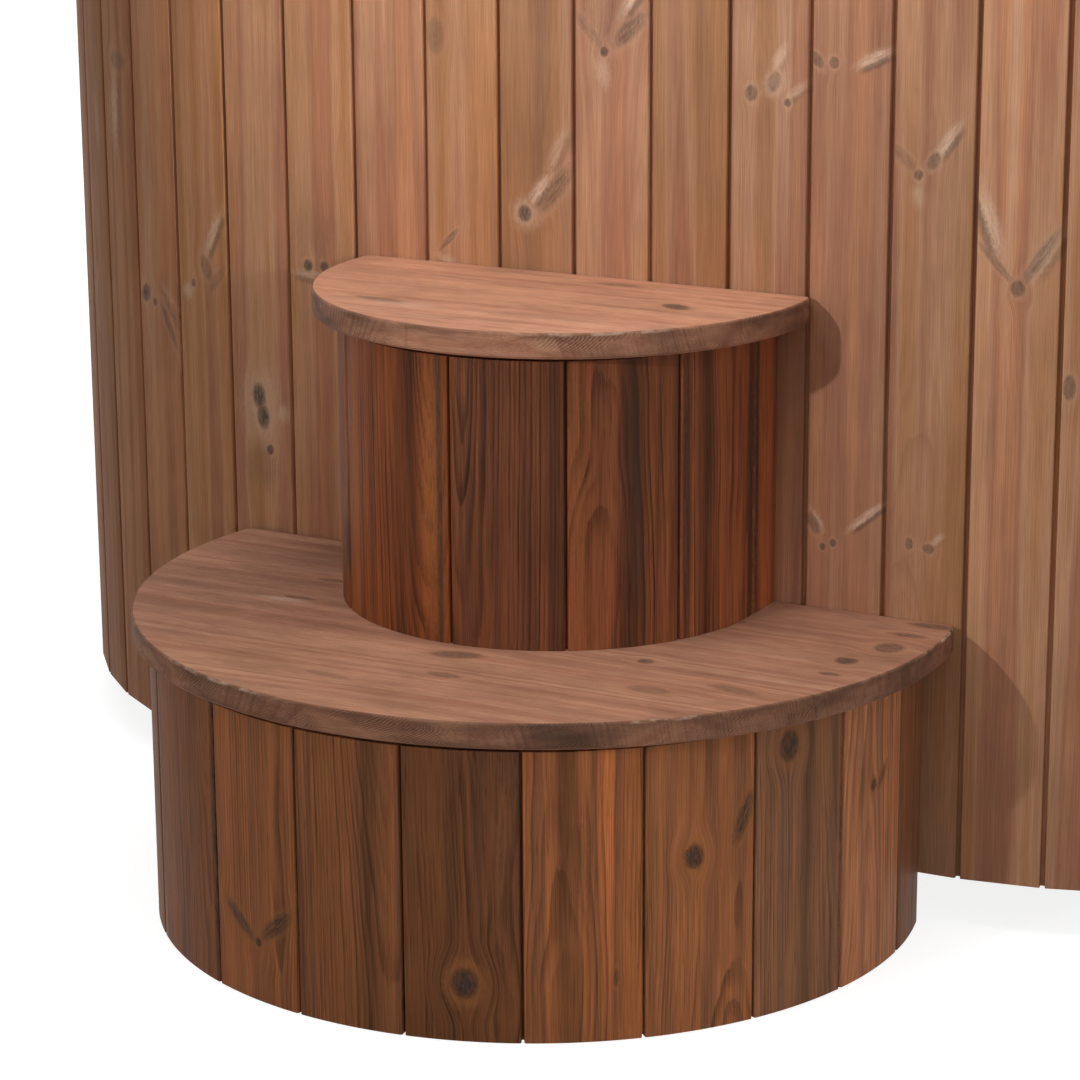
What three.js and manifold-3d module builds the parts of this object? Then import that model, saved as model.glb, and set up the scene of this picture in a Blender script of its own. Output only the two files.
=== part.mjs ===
// Cold plunge tub: a welded plastic liner inside a timber wall with straight sides and round ends,
// with a loose two-tier half-round step unit standing against its front.
// Millimetres, +Z up. The origin is on the floor under the tub's centre, +X runs along the tub,
// and the steps stand on its -Y side. The drain valve is on the +Y side.
import * as THREE from "three";
import { mergeVertices } from "three/addons/utils/BufferGeometryUtils.js";
import Module from "manifold-3d";

const wasm = await Module();
wasm.setup();

// Fits between pieces
const SEAT_GAP = 0.3;
const RUN_GAP = 0.4;
const STEP_TO_WALL = 0.5;

// Tub overall
const TUB_LENGTH = 1865;
const TUB_WIDTH = 1200;
const RIM_TOP = 1050;
const WALL_FOOT = 50;

// Wall boards, tongue and groove, joined ten to a panel
const WALL_BOARDS = 60;
const BOARDS_PER_PANEL = 10;
const FIRST_BOARD = -5;
const BOARD_THICK = 18;
const GROOVE_WIDTH = 5;
const GROOVE_DEPTH = 7;
const BOARD_EASE = 1.5;
const TONGUE_THICK = 5;
const TONGUE_BITE = 5;
const TONGUE_SLACK = 1.4;
const BUTT_GAP = 0.5;

// Hoops behind the boards
const HOOP_THICK = 20;
const HOOP_HEIGHT = 70;

// Base
const DECK_THICK = 18;
const SKID_WIDTH = 45;
const SKID_SPACING = 350;
const SKID_SETBACK = 230;
const SKID_NOSE = 20;

// Liner of welded plastic sheet, with a bench at each end
const LINER_THICK = 8;
const WALL_BUILD = 100;
const WALL_SEAM_X = 180;
const FLOOR_THICK = 10;
const FLOOR_FOAM = 40;
const SEAT_LEVEL = 470;
const SEAT_DEPTH = 380;
const SEAT_THICK = 10;
const SEAT_NOSE = 15;
const RIM_THICK = 8;
const RIM_ROUND = 5;
const LIP_DROP = 40;
const LIP_TO_BOARD = 1;
const END_SEGMENTS = 20;

// Drain and ball valve
const DRAIN_RISE = 60;
const BARREL_RADIUS = 21;
const BARREL_BORE = 16;
const DRAIN_FLANGE_RADIUS = 32;
const DRAIN_FLANGE_THICK = 5;
const DRAIN_NUT_FLATS = 58;
const DRAIN_NUT_THICK = 10;
const WALL_HOLE_CLEAR = 3;
const NUT_POCKET_CLEAR = 4;
const STRAINER_THICK = 2;
const STRAINER_SKIRT = 9;
const STRAINER_WALL = 2;
const STRAINER_HOLE = 2.6;
const STRAINER_HOLES = 8;
const VALVE_STANDOFF = 12;
const SOCKET_DEPTH = 16;
const SHOULDER_THICK = 6;
const BALL_RADIUS = 22;
const BALL_BORE = 15;
const VALVE_WALL = 6.5;
const INLET_HEX_FLATS = 56;
const INLET_HEX_LENGTH = 20;
const PLUG_BITE = 14;
const OUTLET_HEX_FLATS = 50;
const OUTLET_HEX_LENGTH = 12;
const TAIL_LENGTH = 42;
const TAIL_RADIUS = 17;
const TAIL_BARBS = 3;
const TAIL_BARB = 2;
const STEM_RADIUS = 6;
const STEM_FLATS = 8.4;
const STEM_BOSS_RADIUS = 11;
const STEM_BOSS_TOP = 42;
const TANG_WIDTH = 5;
const TANG_LENGTH = 10.6;
const TANG_DEPTH = 4;
const LEVER_THICK = 3;
const LEVER_WIDTH = 20;
const LEVER_REACH = 125;
const LEVER_LIFT = 22;
const LEVER_RAMP = 30;
const GRIP_LENGTH = 78;
const GRIP_WALL = 2.5;
const LEVER_NUT_FLATS = 19;
const LEVER_NUT_THICK = 7;

// Step unit
const STEP_CENTRE_X = -32;
const TREAD_THICK = 25;
const TREAD_EASE = 3;
const TREAD_CORNER = 12;
const TREAD_SEGMENTS = 40;
const RISER_THICK = 20;
const RISER_EASE = 2;
const RISER_JOINT = 0.8;
const SHADOW_GAP = 5;
const FORMER_THICK = 18;
const FORMER_LIFT = 30;
const CURVE_STEP = 0.1;
const LOWER = {
  name: "lower",
  top: 311,
  treadRadius: 414,
  treadSetOff: 82,
  riserRadius: 387,
  riserSetOff: 100.5,
  straightSides: false,
  boardShares: [0.62, 1, 1, 1, 1.27, 1, 1, 1, 1, 1, 1, 1, 0.77],
};
const UPPER = {
  name: "upper",
  top: 622,
  treadRadius: 252.5,
  treadSetOff: 35.5,
  riserRadius: 215,
  riserSetOff: 60,
  straightSides: true,
  boardShares: [1.06, 1, 1.4, 1, 1, 1, 0.47],
};

// Finishes
const paint = (color, roughness, metalness = 0) => ({ color, roughness, metalness });
const WALL_TIMBER = paint(0x946749, 0.7);
const RISER_TIMBER = paint(0x6d412a, 0.65);
const TREAD_TIMBER = paint(0x8d5f4a, 0.7);
const PLYWOOD = paint(0xb08a5c, 0.8);
const SOFTWOOD = paint(0xa98a63, 0.85);
const LINER_SHELL = paint(0xe6e8e6, 0.25);
const FOAM = paint(0xd9c98f, 0.95);
const BRASS = paint(0xb9b4a6, 0.3, 1);
const STEEL = paint(0xb8bcc0, 0.35, 1);
const GRIP_PLASTIC = paint(0x1f2022, 0.55);

// Sizes that follow from the ones above
const END_RADIUS = TUB_WIDTH / 2;
const HALF_STRAIGHT = (TUB_LENGTH - TUB_WIDTH) / 2;
const PERIMETER = 4 * HALF_STRAIGHT + 2 * Math.PI * END_RADIUS;
const BOARD_PITCH = PERIMETER / WALL_BOARDS;
const HOOP_DEPTH = BOARD_THICK + SEAT_GAP;
const DECK_TOP = WALL_FOOT + DECK_THICK;
const LINER_FOOT = DECK_TOP + FLOOR_FOAM + 2 * SEAT_GAP;
const FLOOR_LEVEL = LINER_FOOT + FLOOR_THICK;
const UNDER_RIM = RIM_TOP - RIM_THICK - SEAT_GAP;
const WALL_INSIDE = END_RADIUS - WALL_BUILD;
const WALL_OUTSIDE = WALL_INSIDE + LINER_THICK;
const BENCH_FRONT_X = HALF_STRAIGHT + WALL_INSIDE - SEAT_DEPTH;
const DRAIN_LEVEL = FLOOR_LEVEL + DRAIN_RISE;
const STEP_BACK_Y = -END_RADIUS - STEP_TO_WALL;

const part = new THREE.Group();

// Adds a named mesh with its own material to the part or to a group of it.
function addMesh(name, geometry, finish, group = part) {
  const mesh = new THREE.Mesh(geometry, new THREE.MeshStandardMaterial(finish));
  mesh.name = name;
  group.add(mesh);
  return mesh;
}

// A closed geometry as a solid that can be joined and cut.
function solidOf(geometry) {
  const bare = geometry.clone();
  bare.deleteAttribute("normal");
  bare.deleteAttribute("uv");
  const merged = mergeVertices(bare, 1e-4);
  const mesh = new wasm.Mesh({
    numProp: 3,
    vertProperties: merged.attributes.position.array,
    triVerts: new Uint32Array(merged.index.array),
  });
  return new wasm.Manifold(mesh);
}

// The triangles of a solid as a geometry.
function geometryOf(solid) {
  const mesh = solid.getMesh();
  const geometry = new THREE.BufferGeometry();
  geometry.setAttribute("position", new THREE.BufferAttribute(mesh.vertProperties, mesh.numProp));
  geometry.setIndex(new THREE.BufferAttribute(mesh.triVerts, 1));
  return geometry;
}

// A body less each of the cutters.
function cut(geometry, ...cutters) {
  let solid = solidOf(geometry);
  for (const cutter of cutters) {
    solid = solid.subtract(solidOf(cutter));
  }
  return geometryOf(solid);
}

// Several bodies as one.
function join(first, ...others) {
  let solid = solidOf(first);
  for (const other of others) {
    solid = solid.add(solidOf(other));
  }
  return geometryOf(solid);
}

// A cylinder along Y from one level to another, on an axis at the given height.
function cylinderY(radius, from, to, height, sides = 24) {
  const geometry = new THREE.CylinderGeometry(radius, radius, to - from, sides);
  return geometry.translate(0, (from + to) / 2, height);
}

// An upright cylinder from one level to another, on the Z axis.
function cylinderZ(radius, from, to, sides = 24) {
  const geometry = new THREE.CylinderGeometry(radius, radius, to - from, sides);
  return geometry.rotateX(Math.PI / 2).translate(0, 0, (from + to) / 2);
}

// A ring or plug turned about the Y axis, from radius and distance pairs that close on themselves.
function turnedY(profile, height, sides = 24) {
  const points = profile.map(([radius, along]) => new THREE.Vector2(radius, along));
  return new THREE.LatheGeometry(points, sides).translate(0, 0, height);
}

// A closed outline in plan, raised from one level to another.
function prism(points, from, to) {
  const shape = new THREE.Shape(points);
  const geometry = new THREE.ExtrudeGeometry(shape, { depth: to - from, bevelEnabled: false });
  return geometry.translate(0, 0, from);
}

// The outline of a hexagon with the given distance across its flats.
function hexagon(flats) {
  const corner = flats / 2 / Math.cos(Math.PI / 6);
  const points = [];
  for (let i = 0; i < 6; i++) {
    const angle = (i * Math.PI) / 3;
    points.push(new THREE.Vector2(corner * Math.cos(angle), corner * Math.sin(angle)));
  }
  return points;
}

// A hexagonal bar along Y.
function hexBarY(flats, from, to, height) {
  return prism(hexagon(flats), -to, -from).rotateX(Math.PI / 2).translate(0, 0, height);
}

// The points of an outline with straight sides and round ends.
function stadium(radius) {
  const points = [];
  for (const side of [1, -1]) {
    for (let i = 0; i <= END_SEGMENTS; i++) {
      const angle = -Math.PI / 2 + (Math.PI * i) / END_SEGMENTS;
      const x = HALF_STRAIGHT + radius * Math.cos(angle);
      points.push(new THREE.Vector2(side * x, side * radius * Math.sin(angle)));
    }
  }
  return points;
}

// A hoop swept round the tub: its section is a closed loop of radius and level pairs, from the inside
// up, over and down the outside.
function sweptHoop(section) {
  const rings = section.map(([radius]) => stadium(radius));
  const count = rings[0].length;
  const positions = rings.flatMap((ring, r) => ring.flatMap((p) => [p.x, p.y, section[r][1]]));
  const index = [];
  for (let r = 0; r < rings.length; r++) {
    const above = (r + 1) % rings.length;
    for (let i = 0; i < count; i++) {
      const next = (i + 1) % count;
      const [a, b] = [r * count + i, r * count + next];
      const [c, d] = [above * count + i, above * count + next];
      index.push(a, d, b, a, c, d);
    }
  }
  const geometry = new THREE.BufferGeometry();
  geometry.setAttribute("position", new THREE.Float32BufferAttribute(positions, 3));
  geometry.setIndex(index);
  return geometry;
}

// The parts of a body on either side of an upright plane across the tub, a seat's gap apart.
function halves(geometry, x) {
  const size = 2 * (TUB_LENGTH + TUB_WIDTH);
  const side = (sign) => {
    const block = new THREE.BoxGeometry(size, size, size);
    block.translate(x + sign * (size / 2 + SEAT_GAP / 2), 0, 0);
    return geometryOf(solidOf(geometry).intersect(solidOf(block)));
  };
  return { left: side(-1), right: side(1) };
}

// The point of the tub's outline at a distance along it from the middle of the front.
function outlinePoint(distance) {
  const arc = Math.PI * END_RADIUS;
  let s = ((distance % PERIMETER) + PERIMETER) % PERIMETER;
  if (s < HALF_STRAIGHT) {
    return new THREE.Vector2(s, -END_RADIUS);
  }
  s -= HALF_STRAIGHT;
  if (s < arc) {
    const angle = -Math.PI / 2 + s / END_RADIUS;
    return new THREE.Vector2(
      HALF_STRAIGHT + END_RADIUS * Math.cos(angle),
      END_RADIUS * Math.sin(angle),
    );
  }
  s -= arc;
  if (s < 2 * HALF_STRAIGHT) {
    return new THREE.Vector2(HALF_STRAIGHT - s, END_RADIUS);
  }
  s -= 2 * HALF_STRAIGHT;
  if (s < arc) {
    const angle = Math.PI / 2 + s / END_RADIUS;
    return new THREE.Vector2(
      -HALF_STRAIGHT + END_RADIUS * Math.cos(angle),
      END_RADIUS * Math.sin(angle),
    );
  }
  return new THREE.Vector2(s - arc - HALF_STRAIGHT, -END_RADIUS);
}

// Boards lie between seams: board i runs from seam i to seam i + 1 and faces outwards, flat.
const seam = (i) => outlinePoint((i - 0.5) * BOARD_PITCH);
const boardAlong = (i) => seam(i + 1).sub(seam(i)).normalize();
const inward = (along) => new THREE.Vector2(-along.y, along.x);

// A point at a depth behind a board's face, at a distance along the board from one of its seams.
function seamPoint(seamIndex, board, depth, offset) {
  const normal = inward(boardAlong(board));
  const mitre = inward(boardAlong(seamIndex - 1)).add(inward(boardAlong(seamIndex))).normalize();
  const start = seam(seamIndex).addScaledVector(mitre, depth / mitre.dot(normal));
  return start.addScaledVector(boardAlong(board), offset);
}

// The outline that runs behind all the boards at one depth, with a corner wherever two boards turn.
function boardsOutline(depth) {
  const points = [];
  for (let i = 0; i < WALL_BOARDS; i++) {
    if (Math.abs(boardAlong(i - 1).cross(boardAlong(i))) > 1e-6) {
      points.push(seamPoint(i, i, depth, 0));
    }
  }
  return points;
}

// One panel of wall boards: grooves between its boards, a slot on one edge and a tongue on the other.
function wallPanel(first) {
  const half = GROOVE_WIDTH / 2;
  const last = first + BOARDS_PER_PANEL - 1;
  const tongueTop = GROOVE_DEPTH;
  const tongueBack = GROOVE_DEPTH + TONGUE_THICK;
  const bite = half + TONGUE_BITE;
  const slotEnd = bite + 1;
  const points = [
    seamPoint(first, first, BOARD_THICK, half),
    seamPoint(first, first, tongueBack + TONGUE_SLACK, half),
    seamPoint(first, first, tongueBack + TONGUE_SLACK, slotEnd),
    seamPoint(first, first, tongueTop - TONGUE_SLACK, slotEnd),
    seamPoint(first, first, tongueTop - TONGUE_SLACK, half),
  ];
  for (let i = first; i <= last; i++) {
    if (i > first) {
      points.push(seamPoint(i, i, GROOVE_DEPTH, half));
    }
    points.push(seamPoint(i, i, BOARD_EASE, half));
    points.push(seamPoint(i, i, 0, half + BOARD_EASE));
    points.push(seamPoint(i + 1, i, 0, -half - BOARD_EASE));
    points.push(seamPoint(i + 1, i, BOARD_EASE, -half));
    points.push(seamPoint(i + 1, i, GROOVE_DEPTH, -half));
  }
  points.push(seamPoint(last + 1, last, tongueTop, bite));
  points.push(seamPoint(last + 1, last, tongueBack, bite));
  points.push(seamPoint(last + 1, last, tongueBack, half - BUTT_GAP));
  points.push(seamPoint(last + 1, last, BOARD_THICK, half - BUTT_GAP));
  for (let i = last; i > first; i--) {
    points.push(seamPoint(i, i, BOARD_THICK, 0));
  }
  return prism(points, WALL_FOOT, UNDER_RIM);
}

// Wall: the panels, with a hole for the drain in the middle board at the back.
function buildWall() {
  const drainBoard = WALL_BOARDS / 2;
  const panels = WALL_BOARDS / BOARDS_PER_PANEL;
  for (let n = 0; n < panels; n++) {
    const first = FIRST_BOARD + n * BOARDS_PER_PANEL;
    let geometry = wallPanel(first);
    if (drainBoard >= first && drainBoard < first + BOARDS_PER_PANEL) {
      const hole = BARREL_RADIUS + WALL_HOLE_CLEAR;
      const reach = 2 * BOARD_THICK;
      geometry = cut(geometry, cylinderY(hole, END_RADIUS - reach, END_RADIUS + reach, DRAIN_LEVEL));
    }
    addMesh(`wall_panel_${String(n + 1).padStart(2, "0")}`, geometry, WALL_TIMBER);
  }
}

// A hoop of bent ply that the boards are nailed to, standing on the given level.
function hoop(from) {
  const shape = new THREE.Shape(boardsOutline(HOOP_DEPTH));
  shape.holes.push(new THREE.Path(boardsOutline(HOOP_DEPTH + HOOP_THICK)));
  const geometry = new THREE.ExtrudeGeometry(shape, { depth: HOOP_HEIGHT, bevelEnabled: false });
  return geometry.translate(0, 0, from);
}

// Base: a ply deck on three runners with sloped noses, and the hoops above it.
function buildBase() {
  addMesh("base_deck", prism(boardsOutline(HOOP_DEPTH), WALL_FOOT, DECK_TOP), PLYWOOD);
  const lowest = DECK_TOP + SEAT_GAP;
  const highest = UNDER_RIM - HOOP_HEIGHT;
  addMesh("hoop_bottom", hoop(lowest), PLYWOOD);
  addMesh("hoop_middle", hoop((lowest + highest) / 2), PLYWOOD);
  addMesh("hoop_top", hoop(highest), PLYWOOD);
  const rows = { front: -SKID_SPACING, centre: 0, back: SKID_SPACING };
  for (const [name, y] of Object.entries(rows)) {
    const half = HALF_STRAIGHT + Math.sqrt(END_RADIUS ** 2 - y ** 2) - SKID_SETBACK;
    const top = WALL_FOOT - SEAT_GAP;
    const side = [
      new THREE.Vector2(-half + SKID_NOSE, 0),
      new THREE.Vector2(half - SKID_NOSE, 0),
      new THREE.Vector2(half, SKID_NOSE),
      new THREE.Vector2(half, top),
      new THREE.Vector2(-half, top),
      new THREE.Vector2(-half, SKID_NOSE),
    ];
    const runner = prism(side, -SKID_WIDTH / 2, SKID_WIDTH / 2).rotateX(Math.PI / 2);
    addMesh(`skid_${name}`, runner.translate(0, y, 0), SOFTWOOD);
  }
}

// Angles in even steps over a quarter turn.
function quarter(steps) {
  const angles = [];
  for (let i = 0; i <= steps; i++) {
    angles.push((i * Math.PI) / 2 / steps);
  }
  return angles;
}

// Liner wall: a sheet bent to the tub's outline in two parts, with the drain's hole in its back.
function buildLinerWall() {
  const sheet = sweptHoop([
    [WALL_INSIDE, LINER_FOOT],
    [WALL_INSIDE, UNDER_RIM],
    [WALL_OUTSIDE, UNDER_RIM],
    [WALL_OUTSIDE, LINER_FOOT],
  ]);
  const hole = cylinderY(BARREL_RADIUS + SEAT_GAP, WALL_INSIDE / 2, END_RADIUS, DRAIN_LEVEL);
  const { left, right } = halves(cut(sheet, hole), WALL_SEAM_X);
  addMesh("liner_wall_left", left, LINER_SHELL);
  addMesh("liner_wall_right", right, LINER_SHELL);
}

// Liner floor, and at each end a bench: a seat to the wall's curve on an upright front.
function buildLinerFloor() {
  const inside = stadium(WALL_INSIDE - SEAT_GAP);
  addMesh("liner_floor", prism(inside, LINER_FOOT, FLOOR_LEVEL), LINER_SHELL);

  const seatUnder = SEAT_LEVEL - SEAT_THICK;
  const reach = Math.abs(BENCH_FRONT_X + LINER_THICK) - HALF_STRAIGHT;
  const halfWidth = Math.sqrt((WALL_INSIDE - SEAT_GAP) ** 2 - Math.max(reach, 0) ** 2);
  const facetSag = WALL_INSIDE * (1 - Math.cos(Math.PI / 2 / END_SEGMENTS));
  const frontWidth = 2 * (halfWidth - facetSag);
  const frontFoot = FLOOR_LEVEL + SEAT_GAP;
  const frontHeight = seatUnder - SEAT_GAP - frontFoot;
  for (const [side, sign] of [["left", -1], ["right", 1]]) {
    const plate = prism(inside, seatUnder, SEAT_LEVEL);
    const keep = new THREE.BoxGeometry(TUB_LENGTH, TUB_WIDTH, RIM_TOP);
    keep.translate(sign * (BENCH_FRONT_X - SEAT_NOSE + TUB_LENGTH / 2), 0, SEAT_LEVEL);
    const seat = geometryOf(solidOf(plate).intersect(solidOf(keep)));
    addMesh(`liner_seat_${side}`, seat, LINER_SHELL);

    const front = new THREE.BoxGeometry(LINER_THICK, frontWidth, frontHeight);
    front.translate(sign * (BENCH_FRONT_X + LINER_THICK / 2), 0, frontFoot + frontHeight / 2);
    addMesh(`liner_bench_${side}`, front, LINER_SHELL);
  }
}

// Rim: a flat band over the liner and the boards, with a lip down outside them, in two parts.
function buildRim() {
  const lipInside = (END_RADIUS + LIP_TO_BOARD) / Math.cos(Math.PI / 2 / END_SEGMENTS);
  const lipOutside = lipInside + RIM_THICK;
  const section = [[WALL_INSIDE, RIM_TOP - RIM_THICK]];
  for (const angle of quarter(2)) {
    const back = RIM_ROUND * (1 - Math.cos(angle));
    section.push([WALL_INSIDE + back, RIM_TOP - RIM_ROUND * (1 - Math.sin(angle))]);
  }
  for (const angle of quarter(3)) {
    const back = RIM_THICK * (1 - Math.sin(angle));
    section.push([lipOutside - back, RIM_TOP - RIM_THICK * (1 - Math.cos(angle))]);
  }
  section.push([lipOutside, RIM_TOP - LIP_DROP]);
  section.push([lipInside, RIM_TOP - LIP_DROP]);
  section.push([lipInside, RIM_TOP - RIM_THICK]);
  const { left, right } = halves(sweptHoop(section), 0);
  addMesh("rim_left", left, LINER_SHELL);
  addMesh("rim_right", right, LINER_SHELL);
}

// Insulation: foam that fills the space from the liner to the hoops, and lies under its floor.
function buildInsulation() {
  const outside = boardsOutline(HOOP_DEPTH + HOOP_THICK + SEAT_GAP);
  const foot = DECK_TOP + SEAT_GAP;
  const shape = new THREE.Shape(outside);
  shape.holes.push(new THREE.Path(stadium(WALL_OUTSIDE + SEAT_GAP)));
  const jacket = new THREE.ExtrudeGeometry(shape, { depth: UNDER_RIM - foot, bevelEnabled: false });
  const slab = prism(outside, foot, LINER_FOOT - SEAT_GAP);
  const pocketRadius = DRAIN_NUT_FLATS / 2 / Math.cos(Math.PI / 6) + NUT_POCKET_CLEAR;
  const pocket = cylinderY(pocketRadius, WALL_INSIDE, END_RADIUS, DRAIN_LEVEL);
  addMesh("insulation", cut(join(jacket.translate(0, 0, foot), slab), pocket), FOAM);
}

// Drain: a flanged barrel through the liner and the wall, its nut behind the liner, and a strainer inside.
const barrelEndY = END_RADIUS + VALVE_STANDOFF + SOCKET_DEPTH - 1;

function buildDrain() {
  const flangeBack = WALL_INSIDE - SEAT_GAP;
  const flangeFront = flangeBack - DRAIN_FLANGE_THICK;
  const edge = DRAIN_FLANGE_THICK / 2;
  const barrel = turnedY(
    [
      [BARREL_BORE, flangeFront],
      [BARREL_BORE, barrelEndY],
      [BARREL_RADIUS, barrelEndY],
      [BARREL_RADIUS, flangeBack],
      [DRAIN_FLANGE_RADIUS, flangeBack],
      [DRAIN_FLANGE_RADIUS, flangeFront + edge],
      [DRAIN_FLANGE_RADIUS - edge, flangeFront],
      [BARREL_BORE, flangeFront],
    ].reverse(),
    DRAIN_LEVEL,
  );
  addMesh("drain_fitting", barrel, LINER_SHELL);

  const nutFrom = WALL_OUTSIDE + SEAT_GAP;
  const nut = cut(
    hexBarY(DRAIN_NUT_FLATS, nutFrom, nutFrom + DRAIN_NUT_THICK, DRAIN_LEVEL),
    cylinderY(BARREL_RADIUS + SEAT_GAP, nutFrom - 1, nutFrom + DRAIN_NUT_THICK + 1, DRAIN_LEVEL),
  );
  addMesh("drain_nut", nut, LINER_SHELL);

  const skirt = BARREL_BORE - RUN_GAP;
  const plateBack = flangeFront - SEAT_GAP;
  const plateRadius = DRAIN_FLANGE_RADIUS - edge - 1;
  const strainer = turnedY(
    [
      [0, plateBack - STRAINER_THICK],
      [plateRadius - STRAINER_THICK, plateBack - STRAINER_THICK],
      [plateRadius, plateBack],
      [skirt, plateBack],
      [skirt, plateBack + STRAINER_SKIRT],
      [skirt - STRAINER_WALL, plateBack + STRAINER_SKIRT],
      [skirt - STRAINER_WALL, plateBack],
      [0, plateBack],
    ],
    DRAIN_LEVEL,
  );
  const holes = [];
  for (let i = 0; i < STRAINER_HOLES; i++) {
    const angle = (i * 2 * Math.PI) / STRAINER_HOLES;
    const ringRadius = (skirt - STRAINER_WALL) * 0.62;
    const hole = cylinderY(STRAINER_HOLE, plateBack - 2 * STRAINER_THICK, plateBack + 1, DRAIN_LEVEL, 8);
    holes.push(hole.translate(ringRadius * Math.cos(angle), 0, ringRadius * Math.sin(angle)));
  }
  addMesh("drain_strainer", cut(strainer, ...holes), LINER_SHELL);
}

// Ball valve on the barrel's end: body, screwed outlet with a hose tail, ball, stem, lever, grip and nut.
const valveStartY = END_RADIUS + VALVE_STANDOFF;
const seatReach = Math.sqrt((BALL_RADIUS + RUN_GAP) ** 2 - BALL_BORE ** 2);
const ballY = valveStartY + SOCKET_DEPTH + SHOULDER_THICK + seatReach;
const bodyEndY = ballY + seatReach + PLUG_BITE;

function buildValveBody() {
  const chamber = BALL_RADIUS + 2 * RUN_GAP;
  const outside = chamber + VALVE_WALL;
  const stemBoss = cylinderZ(STEM_BOSS_RADIUS, 0, STEM_BOSS_TOP).translate(0, ballY, DRAIN_LEVEL);
  const stemHole = cylinderZ(STEM_RADIUS + RUN_GAP, 0, 2 * STEM_BOSS_TOP).translate(0, ballY, DRAIN_LEVEL);
  const body = join(
    cylinderY(outside, valveStartY + INLET_HEX_LENGTH / 2, bodyEndY, DRAIN_LEVEL),
    hexBarY(INLET_HEX_FLATS, valveStartY, valveStartY + INLET_HEX_LENGTH, DRAIN_LEVEL),
    stemBoss,
  );
  const shoulderY = valveStartY + SOCKET_DEPTH + SHOULDER_THICK;
  const hollow = cut(
    body,
    cylinderY(BARREL_RADIUS + SEAT_GAP, valveStartY - 1, valveStartY + SOCKET_DEPTH, DRAIN_LEVEL),
    cylinderY(BALL_BORE, valveStartY, bodyEndY, DRAIN_LEVEL),
    cylinderY(chamber, shoulderY, bodyEndY + 1, DRAIN_LEVEL),
    stemHole,
  );
  addMesh("valve_body", hollow, BRASS);

  const plug = chamber - SEAT_GAP;
  const plugY = ballY + seatReach;
  const hexFrom = bodyEndY + SEAT_GAP;
  const hexTo = hexFrom + OUTLET_HEX_LENGTH;
  const barbPitch = (TAIL_LENGTH - TAIL_BARB) / TAIL_BARBS;
  const profile = [
    [BALL_BORE, plugY],
    [plug, plugY],
    [plug, hexFrom + 1],
    [TAIL_RADIUS, hexFrom + 1],
    [TAIL_RADIUS, hexTo + TAIL_BARB],
  ];
  for (let i = 0; i < TAIL_BARBS; i++) {
    const from = hexTo + TAIL_BARB + i * barbPitch;
    profile.push([TAIL_RADIUS + TAIL_BARB, from]);
    profile.push([TAIL_RADIUS, from + barbPitch]);
  }
  profile.push([BALL_BORE, hexTo + TAIL_LENGTH], [BALL_BORE, plugY]);
  const outletHex = cut(
    hexBarY(OUTLET_HEX_FLATS, hexFrom, hexTo, DRAIN_LEVEL),
    cylinderY(BALL_BORE + 1, hexFrom - 1, hexTo + 1, DRAIN_LEVEL),
  );
  addMesh("valve_outlet", join(turnedY(profile, DRAIN_LEVEL), outletHex), BRASS);
}

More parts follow.
